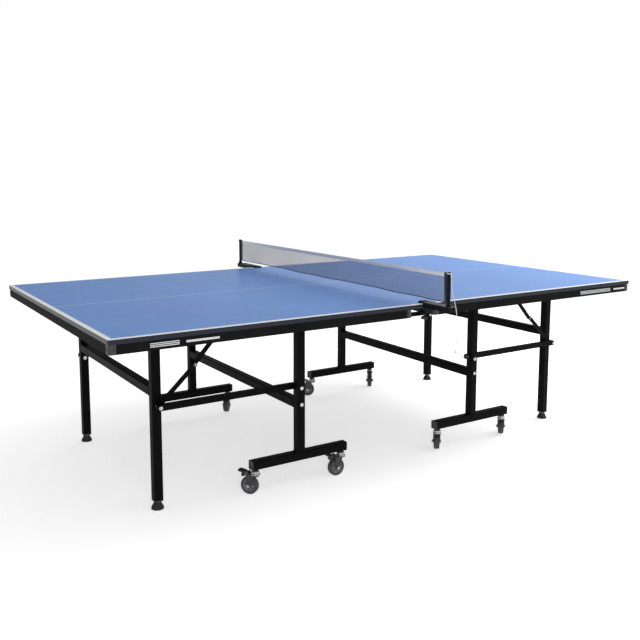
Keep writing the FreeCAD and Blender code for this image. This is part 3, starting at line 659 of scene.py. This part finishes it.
line = geo(weave, "GeometryNodeMeshLine", Count=calc(weave, "MULTIPLY", cells, 4.0))
strand = geo(weave, "GeometryNodeSetPosition", Geometry=line.outputs[0],
             Position=combined(weave, 0.0, strand_y, strand_z))
strand = geo(weave, "GeometryNodeMeshToCurve", Mesh=strand.outputs[0])
stack = geo(weave, "GeometryNodeMeshLine", Count=rows)
row_index = geo(weave, "GeometryNodeInputIndex").outputs[0]
shift = calc(weave, "MULTIPLY", calc(weave, "MODULO", row_index, 2.0), calc(weave, "MULTIPLY", cell, 0.5))
lift = calc(weave, "MULTIPLY", calc(weave, "ADD", row_index, 0.5), row)
stack = geo(weave, "GeometryNodeSetPosition", Geometry=stack.outputs[0],
            Position=combined(weave, 0.0, shift, lift))
knit = geo(weave, "GeometryNodeInstanceOnPoints", Points=stack.outputs[0], Instance=strand.outputs[0])
knit = geo(weave, "GeometryNodeRealizeInstances", Geometry=knit.outputs[0])
here = parts_of(weave, geo(weave, "GeometryNodeInputPosition").outputs[0])
height = calc(weave, "MULTIPLY", rows, row)
low_share = calc(weave, "SUBTRACT", 1.0, calc(weave, "DIVIDE", here[2], height), clamp=True)
drop = calc(weave, "MULTIPLY", hem_wave(weave, here[1]), low_share)
drop = calc(weave, "MULTIPLY", drop, source.outputs["Sag"])
belly = calc(weave, "SINE", calc(weave, "MULTIPLY_ADD", here[1], *BELLY_WAVE))
belly = calc(weave, "MULTIPLY", belly, low_share)
belly = calc(weave, "MULTIPLY", belly, source.outputs["Belly"])
knit = geo(weave, "GeometryNodeSetPosition", Geometry=knit.outputs[0],
           Offset=combined(weave, belly, 0.0, calc(weave, "MULTIPLY", drop, -1.0)))
section = geo(weave, "GeometryNodeCurvePrimitiveCircle", Resolution=3, Radius=source.outputs["Thread"])
knit = geo(weave, "GeometryNodeCurveToMesh", Curve=knit.outputs[0],
           Profile_Curve=section.outputs[0], Fill_Caps=True)
moved = geo(weave, "GeometryNodeTransform", Geometry=knit.outputs[0], Translation=(0.0, 0.0, NET_BOTTOM))
close_tree(weave, moved.outputs[0], source, sink)
net_mesh = bake("net_mesh", points_mesh("net_seed", [(0, 0, 0)]), weave, {"Cells": NET_CELLS}, net_thread,
                "right_top")
print("net mesh:", len(net_mesh.data.polygons), "faces")


# %% Tape, sleeves and hem cord
def hem_drop(y):
    """How far the net's lower edge sags at y."""
    slow = SLOW_SHARE * math.sin(SLOW_WAVE[0] * y + SLOW_WAVE[1])
    quick = QUICK_SHARE * math.sin(QUICK_WAVE[0] * y + QUICK_WAVE[1])
    return SAG * (slow + quick + 0.5)


def belly_at(y):
    """How far the net's lower edge stands off its plane at y."""
    return BELLY * math.sin(BELLY_WAVE[0] * y + BELLY_WAVE[1])


def tape_shift(y):
    """How far the tape stands off the net's plane and dips between its ends."""
    return 0.0005 * math.sin(6.3 * y + 1.0) + 0.0003 * math.sin(31.0 * y), -0.0006 * math.cos(1.7 * y) ** 2


TAPE_HALF = 0.9015
TAPE_TOP = 0.9090
TAPE_SECTION = ((-1.0, 0.10), (-1.25, 0.35), (-1.1, 0.75), (-0.75, 0.95), (0.0, 1.0),
                (0.75, 0.95), (1.1, 0.75), (1.25, 0.35), (1.0, 0.10), (0.6, 0.0), (0.0, 0.04), (-0.6, 0.0))
TAPE_STEPS = 220
TAPE_HALF_THICK = 0.0014


def tape_z(dip, share):
    """The height at a share of the tape's width, where it dips by dip."""
    return TAPE_BOTTOM - 0.001 + dip + (TAPE_TOP - TAPE_BOTTOM) * share


work = bmesh.new()
rings = []
for k in range(TAPE_STEPS + 1):
    y = TAPE_HALF * (2 * k / TAPE_STEPS - 1)
    side, dip = tape_shift(y)
    rings.append([work.verts.new((side + TAPE_HALF_THICK * a, y, tape_z(dip, b))) for a, b in TAPE_SECTION])
skin(work, rings)
work.faces.new(rings[0])
work.faces.new(rings[-1][::-1])
net_tape = from_bmesh("net_tape", work, tape_cotton, "right_top")

SLEEVE_SIDE = 0.0021
SLEEVE = ((0.9065, 0.9095), (0.8860, 0.9095), (0.8885, 0.850), (0.8905, 0.7900), (0.9065, 0.7875))
sleeves = []
for end, s in (("front", -1), ("rear", 1)):
    work = bmesh.new()
    for x in (-SLEEVE_SIDE, SLEEVE_SIDE):
        ring = [work.verts.new((x, s * y, z)) for y, z in SLEEVE]
        work.faces.new(ring)
    work.verts.ensure_lookup_table()
    n = len(SLEEVE)
    for j in range(n):
        i = (j + 1) % n
        work.faces.new((work.verts[j], work.verts[i], work.verts[n + i], work.verts[n + j]))
    bmesh.ops.bevel(work, geom=list(work.edges), offset=0.0009, segments=3, profile=0.6, affect="EDGES")
    sleeves.append(from_bmesh("net_sleeve_" + end, work, sleeve_nylon, "right_top"))

HEM_STEPS = 240
HEM_HALF = 0.9045
HEM_RADIUS = 0.0021
HEM_BELOW = 0.0022
hem_path = []
for k in range(HEM_STEPS + 1):
    y = HEM_HALF * (2 * k / HEM_STEPS - 1)
    hem_path.append((belly_at(y), y, NET_BOTTOM - HEM_BELOW - hem_drop(y)))
hem_bead = tube_along("net_hem_cord", hem_path, HEM_RADIUS)
net_hem = mesh_piece("net_hem_cord", hem_bead, hem_thread, "right_top")
print("tape, two sleeves and the hem cord")

# %% [markdown]
# ## Stitches and weld beads
# Seam stitches and weld ripples are the same thing at different sizes: a small
# rounded bump repeated along a path. One tree spaces bumps along any path by
# length, turns each to the path and stretches it. Both could be drawn in the
# bump, but at these places they catch the light as real relief.

# %% A tree that lays bumps along a path
bumps, source, sink = new_tree("bumps_along_path", {"Spacing": 0.005, "Long": 0.0014, "Wide": 0.0003})
path = geo(bumps, "GeometryNodeMeshToCurve", Mesh=source.outputs["Geometry"])
dots = geo(bumps, "GeometryNodeResampleCurve", {"mode": "LENGTH"}, Curve=path.outputs[0])
length_socket = next(s for s in dots.inputs if s.name == "Length")
bumps.links.new(source.outputs["Spacing"], length_socket)
ball = geo(bumps, "GeometryNodeMeshIcoSphere", Radius=1.0, Subdivisions=1)
tangent = geo(bumps, "GeometryNodeInputTangent").outputs[0]
facing = geo(bumps, "FunctionNodeAlignRotationToVector", {"axis": "Z"}, Vector=tangent)
size = combined(bumps, source.outputs["Wide"], source.outputs["Wide"], source.outputs["Long"])
laid = geo(bumps, "GeometryNodeInstanceOnPoints", Points=dots.outputs[0], Instance=ball.outputs[0],
           Rotation=facing.outputs[0], Scale=size)
close_tree(bumps, laid.outputs[0], source, sink)


def path_mesh(name, paths):
    """One mesh of loose edges that holds every path."""
    points, edges = [], []
    for run in paths:
        edges += [(len(points) + k, len(points) + k + 1) for k in range(len(run) - 1)]
        points += [tuple(p) for p in run]
    mesh = bpy.data.meshes.new(name)
    mesh.from_pydata(points, edges, [])
    return mesh


SEAM_STEPS = 100
TAPE_SEAMS = ((0.16, 0.00165), (0.84, 0.00145))
SLEEVE_SEAM = ((0.8895, 0.9075), (0.8918, 0.850), (0.8938, 0.7915))
seams = []
for side in (-1, 1):
    for share, out in TAPE_SEAMS:
        run = []
        for k in range(SEAM_STEPS + 1):
            y = (TAPE_HALF - 0.002) * (2 * k / SEAM_STEPS - 1)
            shift_x, dip = tape_shift(y)
            run.append((shift_x + side * out, y, tape_z(dip, share)))
        seams.append(run)
    for s in (-1, 1):
        seams.append([(side * SLEEVE_SIDE, s * y, z) for y, z in SLEEVE_SEAM])
stitches = bake("net_stitches", path_mesh("seams", seams), bumps,
                {"Spacing": 0.0048, "Long": 0.0016, "Wide": 0.00035}, stitch_thread, "right_top")
print("stitches", len(stitches.data.polygons), "faces")


# %% Weld beads on stands and legs
PROUD = 0.0006
BEAD_ENDS = (-0.0145, 0.0145)
LUG_SIDE = 0.0174
LUG_RUN = (0.023, 0.006)
WELDED = (("stand", STAND_U, STAND_V, 0.350, 0.1463), ("legs", LEG_U, LEG_V, 0.472, None))


def weld_paths(half, u, v, cross_z, foot_z):
    """Beads where a cross tube and a hinge lug meet the upright tube."""
    runs = []
    for s in (-1, 1):
        for z in (cross_z - TUBE_HALF, cross_z + TUBE_HALF):
            runs.append([spot(half, u + d, s * (v - TUBE_HALF - PROUD), z) for d in BEAD_ENDS])
        for side in (-1, 1):
            lug_v = s * v + side * LUG_SIDE
            runs.append([spot(half, u - TUBE_HALF - PROUD, lug_v, HINGE_Z - below) for below in LUG_RUN])
            if foot_z:
                foot_u = u + side * (TUBE_HALF + PROUD)
                runs.append([spot(half, foot_u, s * v + d, foot_z) for d in BEAD_ENDS])
    return runs


for half in HALVES:
    for body, u, v, cross_z, foot_z in WELDED:
        runs = weld_paths(half, u, v, cross_z, foot_z)
        bake(f"{half}_{body}_welds", path_mesh("welds", runs), bumps,
             {"Spacing": 0.0024, "Long": 0.0019, "Wide": 0.0021}, weld_paint, f"{half}_{body}")
print("welds on four frames")

# %% [markdown]
# ## Bolts and screws
# Every fixing is a washer with a head on it. A tree stands one on each point
# of a mesh, turned to the direction stored there, and the number of corners
# makes it a hexagon nut or a round screw head.

# %% A tree that stands fixings on points
fixings, source, sink = new_tree("fixings_on_points", {
    "Corners": 6, "Head": 0.005, "Tall": 0.003, "Washer": 0.007})
washer = geo(fixings, "GeometryNodeMeshCylinder", Vertices=20, Radius=source.outputs["Washer"], Depth=0.0010)
washer = geo(fixings, "GeometryNodeTransform", Geometry=washer.outputs[0], Translation=(0.0, 0.0, 0.0005))
head = geo(fixings, "GeometryNodeMeshCylinder", Vertices=source.outputs["Corners"],
           Radius=source.outputs["Head"], Depth=source.outputs["Tall"])
rise = calc(fixings, "MULTIPLY_ADD", source.outputs["Tall"], 0.5, 0.0009)
head = geo(fixings, "GeometryNodeTransform", Geometry=head.outputs[0],
           Translation=combined(fixings, 0.0, 0.0, rise))
crown_radius = calc(fixings, "MULTIPLY", source.outputs["Head"], 0.82)
crown = geo(fixings, "GeometryNodeMeshUVSphere", Segments=14, Rings=7, Radius=crown_radius)
crown_z = calc(fixings, "ADD", source.outputs["Tall"], 0.0008)
crown = geo(fixings, "GeometryNodeTransform", Geometry=crown.outputs[0], Scale=(1.0, 1.0, 0.22),
            Translation=combined(fixings, 0.0, 0.0, crown_z))
head_parts = fixings.nodes.new("GeometryNodeJoinGeometry")
for piece_node in (washer, head, crown):
    fixings.links.new(piece_node.outputs[0], head_parts.inputs[0])
stored = geo(fixings, "GeometryNodeInputNamedAttribute", {"data_type": "FLOAT_VECTOR"}, Name="facing")
turned_to = geo(fixings, "FunctionNodeAlignRotationToVector", {"axis": "Z"}, Vector=stored.outputs[0])
stood = geo(fixings, "GeometryNodeInstanceOnPoints", Points=source.outputs["Geometry"],
            Instance=head_parts.outputs[0], Rotation=turned_to.outputs[0])
close_tree(fixings, stood.outputs[0], source, sink)
print("fixings tree of", len(fixings.nodes), "nodes")


def fix(name, places, values, material, body):
    """Fixings at (point, direction) places."""
    base = points_mesh(name + "_points", [p for p, d in places], [d for p, d in places])
    return bake(name, base, fixings, values, material, body, smooth=False)


# %% Screws, bolts and nuts in their places
DOWN = (0.0, 0.0, -1.0)
UP = (0.0, 0.0, 1.0)
BRACES = (0.2466, 0.6439, 0.93845, 1.233)
BRACE_SCREWS = (-0.66, -0.40, -0.13, 0.13, 0.40, 0.66)
BRACE_UNDER = 0.7220
BRACKETS = ((0.455, STAND_V), (1.060, LEG_V))
BRACKET_UNDER = 0.7390
CAP_Z = 0.724
KNEE_BOLT_V, KNEE_NUT_V = 0.503, 0.489
for half in HALVES:
    under = []
    for u in BRACES:
        for v in BRACE_SCREWS:
            under.append((spot(half, u, v, BRACE_UNDER), DOWN))
    for u, v in BRACKETS:
        for s in (-1, 1):
            for d in (-0.021, 0.021):
                under.append((spot(half, u + d, s * v, BRACKET_UNDER), DOWN))
    fix(f"{half}_under_screws", under, {"Corners": 12, "Head": 0.0036, "Tall": 0.0012, "Washer": 0.0052},
        bolt_zinc, f"{half}_top")
    corner = []
    for s in (-1, 1):
        for u in (0.0795, 1.3485):
            corner.append((spot(half, u, s * 0.7605, CAP_Z), spot(half, 0, s, 0)))
        corner.append((spot(half, 1.368, s * 0.741, CAP_Z), spot(half, 1, 0, 0)))
    fix(f"{half}_corner_screws", corner, {"Corners": 12, "Head": 0.0030, "Tall": 0.0006, "Washer": 0.0038},
        cap_plastic, f"{half}_top")
    knees = [(spot(half, KNEE_U, s * KNEE_BOLT_V, KNEE_Z), spot(half, 0, s, 0)) for s in (-1, 1)]
    fix(f"{half}_knee_bolts", knees, {"Corners": 16, "Head": 0.0052, "Tall": 0.0006, "Washer": 0.0070},
        bolt_zinc, f"{half}_stay_lower")
    nuts = [(spot(half, KNEE_U, s * KNEE_NUT_V, KNEE_Z), spot(half, 0, -s, 0)) for s in (-1, 1)]
    fix(f"{half}_knee_nuts", nuts, {"Corners": 6, "Head": 0.0050, "Tall": 0.0008, "Washer": 0.0062},
        bolt_zinc, f"{half}_stay_upper")
for half, number in CASTERS:
    at = caster_frame(half, number)
    axle = [(at @ Vector((AXLE_TRAIL, s * 0.0195, WHEEL_RADIUS)), at.to_3x3() @ Vector((0, s, 0)))
            for s in (-1, 1)]
    fix(f"{half}_axle_nuts_{number}", axle, {"Corners": 6, "Head": 0.0056, "Tall": 0.0030, "Washer": 0.0068},
        bolt_zinc, f"{half}_caster_{number}")
print("fixings stood on two halves and eight casters")

# %% [markdown]
# ## Ribs round knobs and wheels
# Grips, spokes and tyre ribs are bars set round a circle. One tree makes the
# ring flat on the origin, and the ring is then moved to its place. The same
# tree gives the pull knobs' grips, the clamp screws' grips and the spokes.

# %% A tree that sets bars round a circle
ribs, source, sink = new_tree("bars_round_a_circle", {
    "Count": 16, "Radius": 0.011, "Deep": 0.001, "Wide": 0.002, "Tall": 0.01})
circle = geo(ribs, "GeometryNodeMeshCircle", Vertices=source.outputs["Count"],
             Radius=source.outputs["Radius"])
outward = geo(ribs, "GeometryNodeInputPosition").outputs[0]
aim = geo(ribs, "FunctionNodeAlignRotationToVector", {"axis": "X"}, Vector=outward)
bar_size = combined(ribs, source.outputs["Deep"], source.outputs["Wide"], source.outputs["Tall"])
bar = geo(ribs, "GeometryNodeMeshCube", Size=bar_size)
set_round = geo(ribs, "GeometryNodeInstanceOnPoints", Points=circle.outputs[0],
                Instance=bar.outputs[0], Rotation=aim.outputs[0])
close_tree(ribs, set_round.outputs[0], source, sink)


def ring_of_bars(name, at, values, material, body):
    base = points_mesh(name + "_seed", [(0, 0, 0)])
    piece = bake(name, base, ribs, values, material, body, smooth=False)
    piece.data.transform(at)
    return piece


def joined_mesh(name, pieces, material, body, smooth=True):
    """Melts finished pieces into one mesh."""
    work = bmesh.new()
    for piece in pieces:
        work.from_mesh(piece.data)
        bpy.data.objects.remove(piece)
    mesh = bpy.data.meshes.new(name)
    work.to_mesh(mesh)
    work.free()
    return mesh_piece(name, mesh, material, body, smooth)


def on_both_sides(name, at, out, values, material, body):
    """The same ring of bars on both sides of a wheel, as one piece."""
    rings = []
    for s in (-1, 1):
        middle = at @ Matrix.Translation((0, 0, s * out))
        rings.append(ring_of_bars(f"{name}_{s}", middle, values, material, body))
    joined_mesh(name, rings, material, body, smooth=False)


# %% Grips on the pull knobs and clamp screws
KNOB_U, KNOB_Z = 0.454, 0.435
SCREW_X, SCREW_Y, SCREW_Z = 0.0205, 0.7425, 0.696
for half in HALVES:
    middle = spot(half, KNOB_U, STAND_V, KNOB_Z)
    ring_of_bars(f"{half}_knob_grips", turn_to((SIGN[half], 0, 0), middle),
                 {"Count": 18, "Radius": 0.0109, "Deep": 0.0012, "Wide": 0.0016, "Tall": 0.0100},
                 plug_plastic, f"{half}_lock_knob")
for end, s in (("front", -1), ("rear", 1)):
    ring_of_bars(f"clamp_grips_{end}", Matrix.Translation((SCREW_X, s * SCREW_Y, SCREW_Z)),
                 {"Count": 20, "Radius": 0.0129, "Deep": 0.0014, "Wide": 0.0018, "Tall": 0.0076},
                 plug_plastic, f"clamp_screw_{end}")
print("grips on the pull knobs and clamp screws")

# %% Wheel rims, spokes and tyre ribs
AXLE_TO_Z = Matrix.Rotation(math.radians(-90), 4, "X")
RIM_LIP = ((0.0262, 0.0064), (0.0264, 0.0104), (0.0270, 0.0112), (0.0280, 0.0112), (0.0284, 0.0100),
           (0.0284, 0.0066))
HUB = ((0.0146, 0.0064), (0.0140, 0.0108), (0.0130, 0.0122), (0.0112, 0.0124))
SPOKES = {"Count": 6, "Radius": 0.0203, "Deep": 0.0125, "Wide": 0.0042, "Tall": 0.0036}
TYRE_RIBS = {"Count": 40, "Radius": 0.0310, "Deep": 0.0024, "Wide": 0.0014, "Tall": 0.0007}
for half, number in CASTERS:
    at = caster_frame(half, number) @ Matrix.Translation((AXLE_TRAIL, 0, WHEEL_RADIUS)) @ AXLE_TO_Z
    wheel = f"{half}_wheel_{number}"
    work = bmesh.new()
    for s in (-1, 1):
        flip = at @ Matrix.Rotation(math.pi if s < 0 else 0.0, 4, "X")
        add_lathe(work, RIM_LIP, flip, 48)
        add_lathe(work, HUB, flip, 32)
    from_bmesh(f"{half}_rim_{number}", work, rim_plastic, wheel)
    on_both_sides(f"{half}_spokes_{number}", at, 0.0081, SPOKES, rim_plastic, wheel)
    on_both_sides(f"{half}_tyre_ribs_{number}", at, 0.0126, TYRE_RIBS, tyre_rubber, wheel)
print("rims, spokes and tyre ribs on eight wheels")

# %% [markdown]
# ## Turned details
# Ball races on the forks, grip rings and locknuts on the feet and collars on
# the net posts are turned shapes, so each is an outline spun round its axis.

# %% Races, foot rings and post collars
BALL_RACE = ((0.0205, 0.0860), (0.0210, 0.0885), (0.0200, 0.0905), (0.0180, 0.0912), (0.0165, 0.0935),
             (0.0172, 0.0955), (0.0168, 0.0985), (0.0150, 0.1000), (0.0131, 0.1003))
FOOT_RINGS = ((0.0006, 0.02535), (0.0026, 0.02545), (0.0072, 0.0242), (0.0112, 0.0222))
FOOT_NECK = ((0.0152, 0.0246), (0.0156, 0.0252), (0.0150, 0.0262), (0.0090, 0.0264))
FOOT_TOP = 0.0262
COLLAR_LOW = ((0.0110, 0.7668), (0.0114, 0.7685), (0.0112, 0.7745), (0.0098, 0.7790), (0.0080, 0.7812),
              (0.0070, 0.7816))
COLLAR_HIGH = ((0.0071, 0.8990), (0.0080, 0.8996), (0.0083, 0.9010), (0.0083, 0.9090), (0.0078, 0.9110),
               (0.0060, 0.9122), (0.0030, 0.9125))
for half, number in CASTERS:
    work = bmesh.new()
    add_lathe(work, BALL_RACE, caster_frame(half, number), 48)
    from_bmesh(f"{half}_ball_race_{number}", work, bolt_zinc, f"{half}_caster_{number}")
for half in HALVES:
    for end, y in (("front", -LEG_V), ("rear", LEG_V)):
        at = Matrix.Translation((SIGN[half] * LEG_U, y, 0))
        work = bmesh.new()
        for low, radius in FOOT_RINGS:
            grip = ((radius - 0.0006, low), (radius, low + 0.0004), (radius, low + 0.0011),
                    (radius - 0.0006, low + 0.0015))
            add_lathe(work, grip, at, 48)
        add_lathe(work, FOOT_NECK, at, 40)
        from_bmesh(f"{half}_foot_rings_{end}", work, foot_rubber, f"{half}_{end}_foot")
        fix(f"{half}_foot_nut_{end}", [(Vector((SIGN[half] * LEG_U, y, FOOT_TOP)), UP)],
            {"Corners": 6, "Head": 0.0090, "Tall": 0.0048, "Washer": 0.0104}, bolt_zinc, f"{half}_{end}_foot")
for end, s in (("front", -1), ("rear", 1)):
    at = Matrix.Translation((0, s * POST_Y, 0))
    work = bmesh.new()
    add_lathe(work, COLLAR_LOW, at, 48)
    add_lathe(work, COLLAR_HIGH, at, 48)
    from_bmesh(f"post_collars_{end}", work, post_paint, f"net_post_{end}")
print("ball races, foot rings, nuts and post collars")

# %% [markdown]
# ## Pedals, clamp covers and the apron's marks
# The pedals have raised treads, the clamps a tapered cover with two ribs, and
# the near aprons carry plain pale bars where a maker would put its mark.

# %% Pedal treads
PEDAL_PIN = Vector((0.031, 0, 0.091))
PEDAL_TILT = -8
TREADS_X = (0.0185, 0.0232, 0.0279, 0.0326, 0.0373)
for half in HALVES:
    for number in PEDALS[half]:
        tilt = Matrix.Translation(PEDAL_PIN) @ Matrix.Rotation(math.radians(PEDAL_TILT), 4, "Y")
        work = bmesh.new()
        for x in TREADS_X:
            add_box(work, (x - 0.0009, -0.0122, 0.0022), (x + 0.0009, 0.0122, 0.0035), 0.0005)
        work.transform(caster_frame(half, number) @ tilt)
        from_bmesh(f"{half}_pedal_treads_{number}", work, foot_rubber, f"{half}_pedal_{number}")
print("treads on four pedals")

# %% Clamp covers
COVER = ((0.0032, 0.7228), (0.0378, 0.7228), (0.0362, 0.7690), (0.0362, 0.9295), (-0.0118, 0.9295),
         (-0.0118, 0.7692), (0.0032, 0.7690))
COVER_MID_X, COVER_MID_Y = 0.013, 0.826
COVER_LEVELS = ((0.0, 0.7668), (0.0004, 0.7684), (0.0016, 0.7694))
COVER_RIBS_X = (0.0120, 0.0285)
for end, s in (("front", -1), ("rear", 1)):
    work = bmesh.new()
    rings = []
    for inset, z in COVER_LEVELS:
        ring = []
        for x, y in COVER:
            dx = -inset if x > COVER_MID_X else inset
            dy = -inset if y > COVER_MID_Y else inset
            ring.append(work.verts.new((x + dx, s * (y + dy), z)))
        rings.append(ring)
    skin(work, rings)
    work.faces.new(rings[0][::-1])
    work.faces.new(rings[-1])
    near, far = sorted((s * 0.729, s * 0.766))
    for x in COVER_RIBS_X:
        add_box(work, (x - 0.0012, near, 0.7688), (x + 0.0012, far, 0.7706), 0.0006)
    from_bmesh(f"clamp_cover_{end}", work, plug_plastic, f"net_post_{end}", smooth=False)
print("two clamp covers")

# %% Plain bars on the near aprons
BAR_BACK, BAR_FRONT = -0.76045, -0.76085
MARKS = {"left": ((-1.221, -1.112), (-1.086, -0.956)), "right": ((1.000, 1.225), (1.250, 1.335))}
for half, (first, second) in MARKS.items():
    work = bmesh.new()
    for z in (0.7180, 0.7240, 0.7300):
        add_box(work, (first[0], BAR_FRONT, z - 0.0016), (first[1], BAR_BACK, z + 0.0016), 0.00015)
    add_box(work, (second[0], BAR_FRONT, 0.7200), (second[1], BAR_BACK, 0.7280), 0.00015)
    from_bmesh(f"{half}_apron_bars", work, vinyl, f"{half}_top", smooth=False)
print("bars on both near aprons")

# %% [markdown]
# ## The pull cord
# A white cord tensions the net from inside the near post. It leaves the post's
# top, hangs down past the clamp and ends in a knot. It keeps the route of its
# plain tube, on one smooth curve.

# %% Cord, its wrap and its knot
CORD_ROUTE = (
    (0.0010, -0.9239, 0.908), (0.0025, -0.9270, 0.868), (0.0055, -0.9295, 0.828),
    (0.0110, -0.9365, 0.795), (0.0190, -0.9400, 0.760), (0.0260, -0.9390, 0.716),
    (0.0295, -0.9365, 0.668), (0.0280, -0.9350, 0.620), (0.0250, -0.9355, 0.585),
)
CORD_RADIUS = 0.0015
curve = bpy.data.curves.new("pull_cord", "CURVE")
curve.dimensions = "3D"
spline = curve.splines.new("NURBS")
spline.points.add(len(CORD_ROUTE) - 1)
for slot, point in zip(spline.points, CORD_ROUTE):
    slot.co = (*point, 1)
spline.order_u = 3
spline.use_endpoint_u = True
curve.resolution_u = 16
curve.bevel_depth = CORD_RADIUS
curve.bevel_resolution = 4
curve.use_fill_caps = True
pull_cord = bpy.data.objects.new("pull_cord", curve)
bpy.context.scene.collection.objects.link(pull_cord)
curve.materials.append(cord_cotton)
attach(pull_cord, "net_post_front")

# %% Knot and wrap
KNOT_STEPS = 72
KNOT_LOOP, KNOT_SWING, KNOT_RISE = 0.0030, 0.0014, 0.0024
knot_at = Vector(CORD_ROUTE[-1]) - Vector((0, 0, 0.0026))
knot_path = []
for k in range(KNOT_STEPS):
    a = 2 * math.pi * k / KNOT_STEPS
    ring = KNOT_LOOP + KNOT_SWING * math.cos(3 * a)
    turn = Vector((ring * math.cos(2 * a), ring * math.sin(2 * a), KNOT_RISE * math.sin(3 * a)))
    knot_path.append(knot_at + turn)
cord_knot = mesh_piece("cord_knot", tube_along("cord_knot", knot_path, 0.00145, closed=True), cord_cotton,
                       "net_post_front")
WRAP_STEPS = 96
WRAP_RADIUS = 0.0096
WRAP_LOW, WRAP_RISE = 0.9045, 0.0034
wrap_path = []
for k in range(WRAP_STEPS + 1):
    a = 2 * math.pi * 2 * k / WRAP_STEPS
    wrap_path.append(Vector((WRAP_RADIUS * math.sin(a), -POST_Y - WRAP_RADIUS * math.cos(a),
                             WRAP_LOW + WRAP_RISE * k / WRAP_STEPS)))
cord_wrap = mesh_piece("cord_wrap", tube_along("cord_wrap", wrap_path, 0.00135), cord_cotton,
                       "net_post_front")
print("pull cord, wrap and knot")

# %% [markdown]
# ## The net and the front post
# The front post slides out to stretch the net. Cloth that rode on the right
# top alone would be left behind. The net, tape, hem cord and stitches are taken
# off the right top as plain meshes, the front sleeve rides on the front post,
# and the model's plain net and cord are hidden.

# %% Cloth off the right top, the front sleeve on its post, plain net and cord hidden
for cloth in (net_mesh, net_tape, net_hem, stitches):
    cloth.parent = None
    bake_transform(cloth)
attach(sleeves[0], "net_post_front")
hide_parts("net_fabric")
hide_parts("net_cord")

# %% [markdown]
# ## The camera
# The table is seen from its front left corner, a little above the board. The
# lens is a normal one, and a small shift keeps the view level.

# %% Camera
CAMERA_AT = (-2.1889, -3.3065, 1.3197)
YAW, PITCH, ROLL = 31.722, -7.165, -0.073
LENS = 44.6456
SHIFT_X, SHIFT_Y = 0.031297, -0.077188
camera_data = bpy.data.cameras.new("studio_camera")
camera_data.sensor_width = 36.0
camera_data.lens = LENS
camera_data.shift_x = SHIFT_X
camera_data.shift_y = SHIFT_Y
camera = bpy.data.objects.new("studio_camera", camera_data)
bpy.context.scene.collection.objects.link(camera)
turned = Matrix.Rotation(-math.radians(YAW), 4, "Z") @ Matrix.Rotation(math.radians(90 + PITCH), 4, "X")
camera.matrix_world = Matrix.Translation(CAMERA_AT) @ turned @ Matrix.Rotation(math.radians(ROLL), 4, "Z")
bpy.context.scene.camera = camera
print("lens", round(camera_data.lens, 2), "mm")

# %% [markdown]
# ## Studio
# A white floor and white surroundings. The main soft light stands off the
# right end, so the board pales towards it as a real one does in a showroom,
# and a weaker one on the camera's side keeps a soft sheen on the black tube.
# What the board mirrors is dimmer towards the back left.

# %% Floor, surroundings and lights
FLOOR_REACH = 14.0
FLOOR_GLOW = 0.55
FLOOR_Z = -0.0005
floor_mesh = bpy.data.meshes.new("studio_floor")
corners = [(x * FLOOR_REACH, y * FLOOR_REACH, FLOOR_Z) for x, y in ((-1, -1), (1, -1), (1, 1), (-1, 1))]
floor_mesh.from_pydata(corners, [], [(0, 1, 2, 3)])
floor = bpy.data.objects.new("studio_floor", floor_mesh)
bpy.context.scene.collection.objects.link(floor)
floor_finish, tree, shader = new_finish("studio_floor_white", (0.92, 0.92, 0.92), 0.9)
shader.inputs["Emission Color"].default_value = (1, 1, 1, 1)
shader.inputs["Emission Strength"].default_value = FLOOR_GLOW
paint(floor, floor_finish)

world = bpy.data.worlds.new("studio_white")
bpy.context.scene.world = world
world.use_nodes = True
tree = world.node_tree
sky = tree.nodes["Background"]
sky.inputs["Color"].default_value = (1, 1, 1, 1)
backdrop = tree.nodes.new("ShaderNodeBackground")
backdrop.inputs["Color"].default_value = (1, 1, 1, 1)
backdrop.inputs["Strength"].default_value = 1.0
heading = parts_of(tree, tree.nodes.new("ShaderNodeTexCoord").outputs["Generated"])
side_glow = spread(tree, heading[0], 0.10, 0.90, 0.40, 1.05)
wire(tree, side_glow, sky.inputs["Strength"])
seen = tree.nodes.new("ShaderNodeLightPath").outputs["Is Camera Ray"]
choose = tree.nodes.new("ShaderNodeMixShader")
wire(tree, seen, choose.inputs[0])
tree.links.new(sky.outputs[0], choose.inputs[1])
tree.links.new(backdrop.outputs[0], choose.inputs[2])
tree.links.new(choose.outputs[0], tree.nodes["World Output"].inputs["Surface"])


def soft_light(name, at, aim, size, power):
    data = bpy.data.lights.new(name, "AREA")
    data.shape = "SQUARE"
    data.size = size
    data.energy = power
    lamp = bpy.data.objects.new(name, data)
    bpy.context.scene.collection.objects.link(lamp)
    lamp.matrix_world = turn_to(Vector(at) - Vector(aim), at)


soft_light("right_end_light", (3.2, -0.4, 2.7), (0.5, 0, 0.7), 2.0, 95)
soft_light("camera_side_light", (-2.4, -5.0, 2.2), (0.2, 0, 0.4), 2.2, 50)
bpy.context.scene.view_settings.view_transform = "Standard"
print("studio ready")
